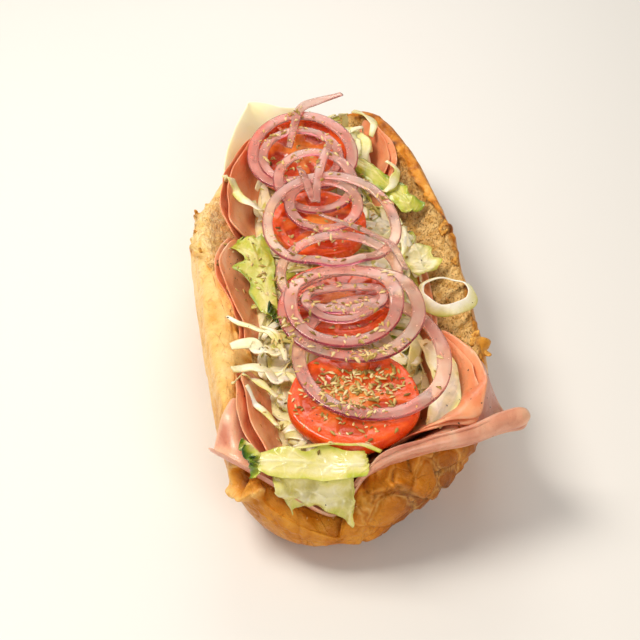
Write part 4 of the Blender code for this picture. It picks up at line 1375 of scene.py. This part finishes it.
def unit_grid(rows, columns):
    """u and v from 0 to 1 over a grid."""
    return np.meshgrid(np.linspace(0, 1, rows), np.linspace(0, 1, columns), indexing="ij")


def resting(path, tree, gap):
    """A path that is raised where it would sink into what lies under it."""
    hits = [dropped(tree, x, y)[0] for x, y, _ in path]
    under = np.array([-100 if hit is None else hit.z + gap for hit in hits])
    raised = np.maximum(path[:, 2], under)
    for _ in range(3):
        padded = np.pad(raised, 1, mode="edge")
        raised = (padded[:-2] + 2 * raised + padded[2:]) / 4
    return np.column_stack([path[:, :2], raised])


def build_frill(name, path, width, swing, seed, material):
    rows, columns = 110, 16
    line = evenly(np.array(path, float) + SHIFT, rows)
    heading, side, up = path_frame(line, above=(0.2, 0.3, 1))
    t = np.linspace(0, 1, rows)[:, None]
    v = np.linspace(-0.5, 0.5, columns)[None]
    wide = width * np.sin(np.clip(t, 0.04, 0.96) * math.pi) ** 0.5
    ruffle = 2 * math.pi * (t * 5 + 0.3 * np.sin(9 * t))
    curl = swing * np.sin(ruffle) * (v + 0.5) ** 1.3 * 2
    along_it = 0.8 * np.cos(ruffle) * (v + 0.5) * 1.4
    grid = line[:, None] + side[:, None] * (v * wide)[..., None] + up[:, None] * curl[..., None]
    grid = grid + heading[:, None] * along_it[..., None]
    grid = grid + 0.5 * drift(grid, 4, seed, 2)
    shade = 0.74 + 0.5 * (v + 0 * t) + 0.25 * noise(grid, 4, seed + 4)
    make_lettuce(name, plate(grid, 0.4), np.tile(shade.ravel(), 2), material)


def build_leaves(material):
    for number, (node, leaf) in enumerate(LEAVES.items()):
        build_leaf(node, 200 + 20 * number, material, *leaf)
    for number, (name, (path, width, swing)) in enumerate(FRILLS.items()):
        build_frill(name, path, width, swing, 340 + number, material)


def build_lettuce_strips(material):
    for number, node in enumerate(nodes_named("lettuce_strip")):
        path = evenly(strip_centre_line(node), 60)
        path += 0.5 * drift(path, 6, 330 + number)
        taper = narrowing(60, 0.3, 0.4) * (1 + 0.2 * noise(path, 5, 333 + number))
        twist = 0.5 * noise(path, 12, 336 + number) + 0.25
        points, faces, across, _ = band(path, 6.8 * taper, 0.9, 12, False, twist)
        green = 0.06 + 0.15 * np.abs(across) + 0.2 * noise(points, 8, 338)
        make_lettuce(node, (points, faces), green, material, [node])


def build_strands(material):
    ham = shown_tree(*shown_names("ham"))
    strands, greens = [], []
    for number, (line, width) in enumerate(STRANDS):
        path = resting(evenly(np.array(line) + SHIFT, 50), ham, 0.9)
        path += 0.6 * drift(path, 6, 500 + number)
        taper = narrowing(50, 0.25, 0.5) * (1 + 0.3 * noise(path, 5, 510 + number))
        twist = 0.7 * noise(path, 10, 520 + number) + 0.3
        points, faces, across, _ = band(path, width * taper, 0.7, 10, False, twist)
        strands.append((points, faces))
        greens.append(0.2 + 0.3 * noise(points, 9, 530) + 0.15 * np.abs(across))
    make_lettuce("lettuce_strands", joined(strands), np.concatenate(greens), material)


def build_curl(material):
    line, width, _ = ring_centre_line("lettuce_curl", CURL_STATIONS)
    path = evenly(line, 140, closed=True)
    path[:, 2] += 0.9 * noise(path, 9, 4)
    path[:, :2] += 1.5 * drift(path, 9, 7)[:, :2]
    front = ease(2, -5, path[:, 1] - path[:, 1].mean())
    wide = width * (0.8 + 0.45 * front + 0.3 * noise(path, 8, 5))
    points, faces, across, _ = band(path, wide, 0.7, 12, True, -0.75 + 0.4 * noise(path, 10, 3))
    green = 0.22 + 0.2 * across + 0.15 * noise(points, 7, 6)
    make_lettuce("lettuce_curl", (points, faces), green, material, ["lettuce_curl"])


SHRED_COUNT = 420
SCRAP_COUNT = 64


def random_spot(random, low, high):
    return random.uniform(low[0], high[0]), random.uniform(low[1], high[1])


def random_shred(random, low, high, top):
    """A narrow shred that lies on the heap, as (points, faces) and its green, or None if it would hang
    over the heap's edge."""
    x, y = random_spot(random, low, high)
    if top(x, y) < 0:
        return None
    count = 22
    length = random.uniform(14, 42)
    steps = np.linspace(-0.5, 0.5, count)
    heading = random.uniform(0, 2 * math.pi)
    bend = random.normal(0, 1.3)
    turn = heading + bend * steps + 0.5 * np.sin(steps * 9 + random.uniform(0, 6)) * random.uniform(0, 1)
    xs = x + np.cumsum(np.cos(turn)) * (length / count)
    ys = y + np.cumsum(np.sin(turn)) * (length / count)
    under = top(xs, ys)
    if (under < 0).any():
        return None
    arch = random.uniform(-1.0, 2.0) * (1 - (2 * steps) ** 2)
    path = np.stack([xs, ys, under - 1.3 + arch + random.uniform(-1.2, 0.9)], axis=1)
    width = random.uniform(2.8, 6.5) * narrowing(count, 0.35, 0.4)
    roll = random.normal(0, 0.6) + random.normal(0, 0.8) * steps
    points, faces, across, _ = band(path, width, 0.5, 8, False, roll)
    shade = np.clip(random.normal(0.2, 0.14), 0.0, 0.7)
    tip = random.uniform(0, 0.35) * (np.linspace(0, 1, count) ** 2)
    return (points, faces), shade + np.repeat(tip, 8) + 0.08 * np.abs(across)


def random_scrap(random, low, high, top):
    """A broad scrap of leaf that lies on the heap, given as the shreds are."""
    u, v = unit_grid(20, 12)
    x, y = random_spot(random, low, high)
    long, wide = random.uniform(12, 26), random.uniform(6, 12)
    spin = random.uniform(0, 2 * math.pi)
    tilt, seed = random.uniform(-0.5, 0.5), int(random.integers(1000))
    ragged = 1 + 0.35 * noise(np.stack([u * 3, 0 * u + seed, 0 * u], axis=-1), 1.0, seed, 2)
    a, b = (u - 0.5) * long, (v - 0.5) * wide * ragged * np.sin(0.35 + u * (math.pi - 0.7)) ** 0.5
    xs, ys = x + a * math.cos(spin) - b * math.sin(spin), y + a * math.sin(spin) + b * math.cos(spin)
    under = top(xs, ys)
    if under.min() < 0:
        return None
    wave, ribs = crumple(u, v, seed, random.uniform(0.8, 1.6))
    sheet = np.stack([xs, ys, under - 0.6 + 1.1 * wave + 0.3 * ribs + tilt * b * 0.5], axis=-1)
    edge = np.minimum(np.minimum(u, 1 - u) * 2, np.minimum(v, 1 - v))
    shade = random.uniform(0.02, 0.3) + random.uniform(0.05, 0.35) * ease(0.25, 0.0, edge) - 0.1 * ribs
    return plate(sheet, 0.45), np.tile(shade.ravel(), 2)


def build_heap(material):
    """A core inside the CAD heap, with shreds and broad scraps laid over it and out to its top."""
    points, faces, _ = softened("lettuce_heap", 2)
    low, high = cad_box("lettuce_heap")
    middle = (low + high) / 2
    core = points.copy()
    core[:, :2] = middle[:2] + (core[:, :2] - middle[:2]) * 0.95
    core[:, 2] -= 3.0 + 0.8 * noise(points, 6, 300)
    green = 0.3 + 0.3 * noise(points, 8, 301, 2)
    make_lettuce("lettuce_core", (core, faces), green, material, ["lettuce_heap"])

    top = height_map(cad_tree("lettuce_heap"), low, high)
    random = np.random.default_rng(7)
    for name, count, random_bit in (
        ("lettuce_shreds", SHRED_COUNT, random_shred),
        ("lettuce_scraps", SCRAP_COUNT, random_scrap),
    ):
        bits = []
        while len(bits) < count:
            bit = random_bit(random, low, high, top)
            if bit is not None:
                bits.append(bit)
        parts, greens = zip(*bits)
        make_lettuce(name, joined(parts), np.concatenate(greens), material)


# ---------------------------------------------------------------- herbs, pepper, seeds and crumbs

def shown_names(start):
    """The names of the finished pieces that begin with a word, or with any of several."""
    return [p.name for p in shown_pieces() if p.name.startswith(start)]


def shown_tree(*names):
    """A tree of the finished pieces' faces."""
    points, faces = [], []
    for name in names:
        mesh = bpy.data.objects[name].data
        start = len(points)
        points += list(map(tuple, mesh_points(mesh) / MM))
        faces += [[start + k for k in p.vertices] for p in mesh.polygons]
    return BVHTree.FromPolygons(points, faces)


def scatter(name, landed, make_grain, material, slot):
    """One piece of many grains. make_grain returns a grain's own points and faces."""
    grains, shades = [], []
    for spot, normal, size, spin, shade in landed:
        points, faces = make_grain(size, spin)
        normal = np.array(normal)
        side = unit(np.cross(normal, (0.3, 0.9, 0.1)))
        turned = side * math.cos(spin) + np.cross(normal, side) * math.sin(spin)
        across = np.cross(normal, turned)
        u, v, w = np.moveaxis(points[..., None], 1, 0)
        grains.append((np.array(spot) + u * turned + v * across + w * normal, faces))
        shades.append(np.full(len(points), shade))
    make_piece(name, *joined(grains), material, slot, (), {"shade": np.concatenate(shades)})


def flake(size, spin):
    """A curled scrap of dried leaf, thin and pointed."""
    random = np.random.default_rng(int(spin * 1e6) % 100000)
    half = np.array([
        (-1, 0), (-0.5, 0.32), (0.1, 0.42), (0.7, 0.22), (1, 0), (0.6, -0.26), (0, -0.4), (-0.6, -0.24),
    ])
    half = half * (size / 2) * random.uniform(0.75, 1.2, (8, 1))
    curl = random.uniform(0.05, 0.28) * size
    rise = curl * (np.abs(half[:, 1]) / (size * 0.2)) ** 1.5 * 0.6 + 0.18
    top = np.column_stack([half, rise + 0.12])
    bottom = np.column_stack([half, rise - 0.10])
    faces = [tuple(range(8)), tuple(reversed(range(8, 16)))]
    faces += [(k, k + 8, (k + 1) % 8 + 8, (k + 1) % 8) for k in range(8)]
    return np.vstack([top, bottom]), faces


def pebble(size, spin):
    """A small uneven grain."""
    random = np.random.default_rng(int(spin * 1e6) % 100000)
    golden = (1 + 5**0.5) / 2
    corners = np.array([
        (-1, golden, 0), (1, golden, 0), (-1, -golden, 0), (1, -golden, 0),
        (0, -1, golden), (0, 1, golden), (0, -1, -golden), (0, 1, -golden),
        (golden, 0, -1), (golden, 0, 1), (-golden, 0, -1), (-golden, 0, 1),
    ]) / 1.9
    faces = [
        (0, 11, 5), (0, 5, 1), (0, 1, 7), (0, 7, 10), (0, 10, 11), (1, 5, 9), (5, 11, 4), (11, 10, 2),
        (10, 7, 6), (7, 1, 8), (3, 9, 4), (3, 4, 2), (3, 2, 6), (3, 6, 8), (3, 8, 9), (4, 9, 5),
        (2, 4, 11), (6, 2, 10), (8, 6, 7), (9, 8, 1),
    ]
    return corners * size / 2 * random.uniform(0.6, 1.15, (12, 1)) * (1.2, 0.9, 0.7), faces


def seed_shape(size, spin):
    points, faces = pebble(size, 0.5)
    return points * (1.25, 0.8, 0.5), faces


# How far up a face must point for a grain to lie on it.
STEEPEST = 0.25
# Clusters of small toppings, where the CAD script models the sandwich: (x, y, spread, how many).
HERB_CLUSTERS = (
    (0, -84, 9, 150), (9, -76, 7, 70), (0, -98, 12, 30), (3, -68, 9, 60), (20, -66, 7, 30),
    (-22, -80, 8, 30), (-13, -30, 8, 60), (6, -37, 9, 40), (-25, -49, 5, 40), (0, 16, 12, 50),
    (-14, 0, 9, 40), (-14, 89, 8, 50), (0, 96, 10, 40), (2, 60, 14, 50), (27, -76, 8, 20),
    (-30, 10, 12, 30), (28, 30, 12, 30),
)
PEPPER_CLUSTERS = ((0, -60, 30, 70), (0, 20, 30, 60), (-42, 10, 8, 20), (42, -90, 10, 20))
SEED_CLUSTERS = ((-5, -95, 9, 26), (4, -78, 10, 18), (0, -35, 10, 18), (0, 20, 9, 18), (-8, 78, 9, 14))
CRUMB_CLUSTERS = ((-14, -121, 5, 10), (-30, -116, 6, 8), (50, -20, 5, 8), (50, 30, 6, 8))
# Torn bits of crust: (place, way it points, length, thickness).
TORN_BITS = (
    ((58.5, 31, 45), (1.0, 0.1, 0.25), 6.5, 3.4),
    ((58.5, 28, 46), (0.6, -0.4, 0.6), 4.0, 3.0),
    ((57.5, 35, 46), (0.3, 0.8, 0.4), 5.0, 2.8),
    ((59.5, -50, 43), (1.0, -0.25, 0.1), 7.0, 3.8),
    ((60.0, -45, 44), (0.7, 0.3, 0.5), 4.5, 3.2),
    ((59.5, -55, 42), (0.6, -0.8, 0.0), 5.0, 3.0),
    ((58.0, 8, 46), (0.6, 0.5, 0.6), 3.6, 2.6),
    ((58.5, -22, 45), (0.7, -0.2, 0.7), 3.4, 2.6),
    ((-60.5, 64, 41), (-0.7, 0.3, 0.6), 4.0, 2.8),
    ((-60.0, 44, 42), (-0.8, -0.3, 0.5), 3.6, 2.6),
    ((-59.0, 28, 43), (-0.7, 0.2, 0.6), 3.0, 2.4),
)


def torn_bit(place, heading, long, thick, seed):
    """A curled, pointed bit of torn crust, which grows from the given place."""
    rows, around = 14, 12
    t = np.linspace(0, 1, rows)
    heading = unit(np.array(heading))
    side = unit(np.cross(heading, (0, 0, 1)))
    up = np.cross(side, heading)
    path = np.array(place) + heading * (t[:, None] * long - 1.5) + up * (0.28 * long * t[:, None] ** 2)
    reach = thick / 2 * (1 - t) ** 0.6 + 0.12
    angle = np.linspace(0, 2 * math.pi, around, endpoint=False)[None, :, None]
    ring = side * np.cos(angle) * 1.3 + up * np.sin(angle) * 0.7
    points = path[:, None] + ring * reach[:, None, None]
    return (points + 0.5 * drift(points, 1.6, seed, 2)).reshape(-1, 3), band_faces(rows, around, False)


def build_torn_bits(material):
    bread = shown_tree("roll")
    bits = []
    for number, (place, heading, long, thick) in enumerate(TORN_BITS):
        root = bread.find_nearest(Vector(np.array(place) + SHIFT))[0]
        bits.append(torn_bit(root, heading, long, thick, 400 + number))
    make_piece("crust_torn_bits", *joined(bits), material, "crust")


def landings(random, clusters, sizes, sink, tree):
    """Where the grains of some clusters lie on a tree's faces, with their sizes, turns and shades."""
    found = []
    for middle_x, middle_y, spread, count in clusters:
        wanted = len(found) + count
        for _ in range(12 * count):
            if len(found) == wanted:
                break
            x = random.normal(middle_x, spread) + SHIFT[0]
            y = random.normal(middle_y, spread) + SHIFT[1]
            size = random.uniform(*sizes)
            spin = random.uniform(0, 6.28)
            shade = random.uniform(0, 1)
            hit, normal = dropped(tree, x, y)
            if hit is not None and normal.z >= STEEPEST:
                found.append(((hit.x, hit.y, hit.z - sink), tuple(normal), size, spin, shade))
    return found


def build_toppings():
    fillings = shown_tree(*shown_names(("onion", "tomato", "lettuce", "ham", "cheese")))
    bread = shown_tree("roll")
    random = np.random.default_rng(11)
    for name, clusters, sizes, sink, tree, make_grain, make_material, slot in (
        ("oregano_flakes", HERB_CLUSTERS, (1.5, 3.9), 0.0, fillings, flake, herb_material, "lettuce"),
        ("pepper_specks", PEPPER_CLUSTERS, (0.5, 1.1), 0.1, fillings, pebble, pepper_material, "lettuce"),
        ("tomato_seeds", SEED_CLUSTERS, (1.4, 2.1), 0.0, fillings, seed_shape, seed_material, "tomato"),
        ("crust_crumbs", CRUMB_CLUSTERS, (0.7, 1.7), 0.1, bread, pebble, crumb_material, "crust"),
    ):
        grains = landings(random, clusters, sizes, sink, tree)
        scatter(name, grains, make_grain, make_material(), slot)


# ---------------------------------------------------------------- the scene around the sandwich

# The camera's place and aim, where the CAD script models the sandwich.
CAMERA_PLACE = (-54.42, -469.95, 439.55)
CAMERA_TARGET = (-3.61, 13.45, 8.0)
CAMERA_LENS = 74.6


# The soft lights: (name, place in metres, size, power, colour). All of them shine on LIT.
LIGHTS = (
    ("key", (-0.48, 0.1, 0.82), 0.4, 8.0, (1.0, 0.94, 0.86)),
    ("fill", (0.25, -0.8, 0.55), 0.5, 3.4, (1.0, 0.95, 0.88)),
    ("back", (0.1, 0.8, 0.6), 0.5, 2.5, (1.0, 0.96, 0.9)),
)
LIT = (0, 0, 0.03)
FLOOR_HALF = 3.0


def put(name, data, place=(0, 0, 0), target=None):
    """Add a lamp, the camera or the floor at a place, and turn it towards a target."""
    thing = bpy.data.objects.new(name, data)
    thing.location = place
    if target is not None:
        thing.rotation_euler = (Vector(target) - Vector(place)).to_track_quat("-Z", "Y").to_euler()
    bpy.context.scene.collection.objects.link(thing)
    return thing


def build_surroundings():
    mesh = bpy.data.meshes.new("floor")
    corners = [(x * FLOOR_HALF, y * FLOOR_HALF, 0) for x, y in ((-1, -1), (1, -1), (1, 1), (-1, 1))]
    mesh.from_pydata(corners, [], [(0, 1, 2, 3)])
    mesh.materials.append(Paint("floor", roughness=0.5).finish((232, 229, 224)))
    put("floor", mesh)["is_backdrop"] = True
    world = bpy.data.worlds.new("studio")
    world.use_nodes = True
    world.node_tree.nodes["Background"].inputs["Color"].default_value = (1.0, 0.985, 0.96, 1)
    world.node_tree.nodes["Background"].inputs["Strength"].default_value = 0.25
    bpy.context.scene.world = world
    bpy.context.scene.view_settings.view_transform = "Standard"
    for name, place, size, power, colour in LIGHTS:
        light = bpy.data.lights.new(name, "AREA")
        light.size = size
        light.energy = power
        light.color = colour
        put(name, light, place, LIT)
    lens = bpy.data.cameras.new("camera")
    lens.lens = CAMERA_LENS
    place, target = ((np.array(spot) + SHIFT) * MM for spot in (CAMERA_PLACE, CAMERA_TARGET))
    bpy.context.scene.camera = put("camera", lens, place, target)


def main():
    build_surroundings()
    build_roll(bread_material())
    build_ham_and_cheese()
    lettuce = lettuce_material()
    for build in (build_leaves, build_lettuce_strips, build_strands, build_curl, build_heap):
        build(lettuce)
    tomato = tomato_material()
    for number, (node, (pockets, plainness)) in enumerate(POCKETS.items()):
        build_tomato(node, pockets, plainness, 2 + number, tomato)
    onion = onion_material()
    build_onion_rings(onion)
    build_onion_strips(onion)
    build_torn_bits(torn_material())
    build_toppings()


main()
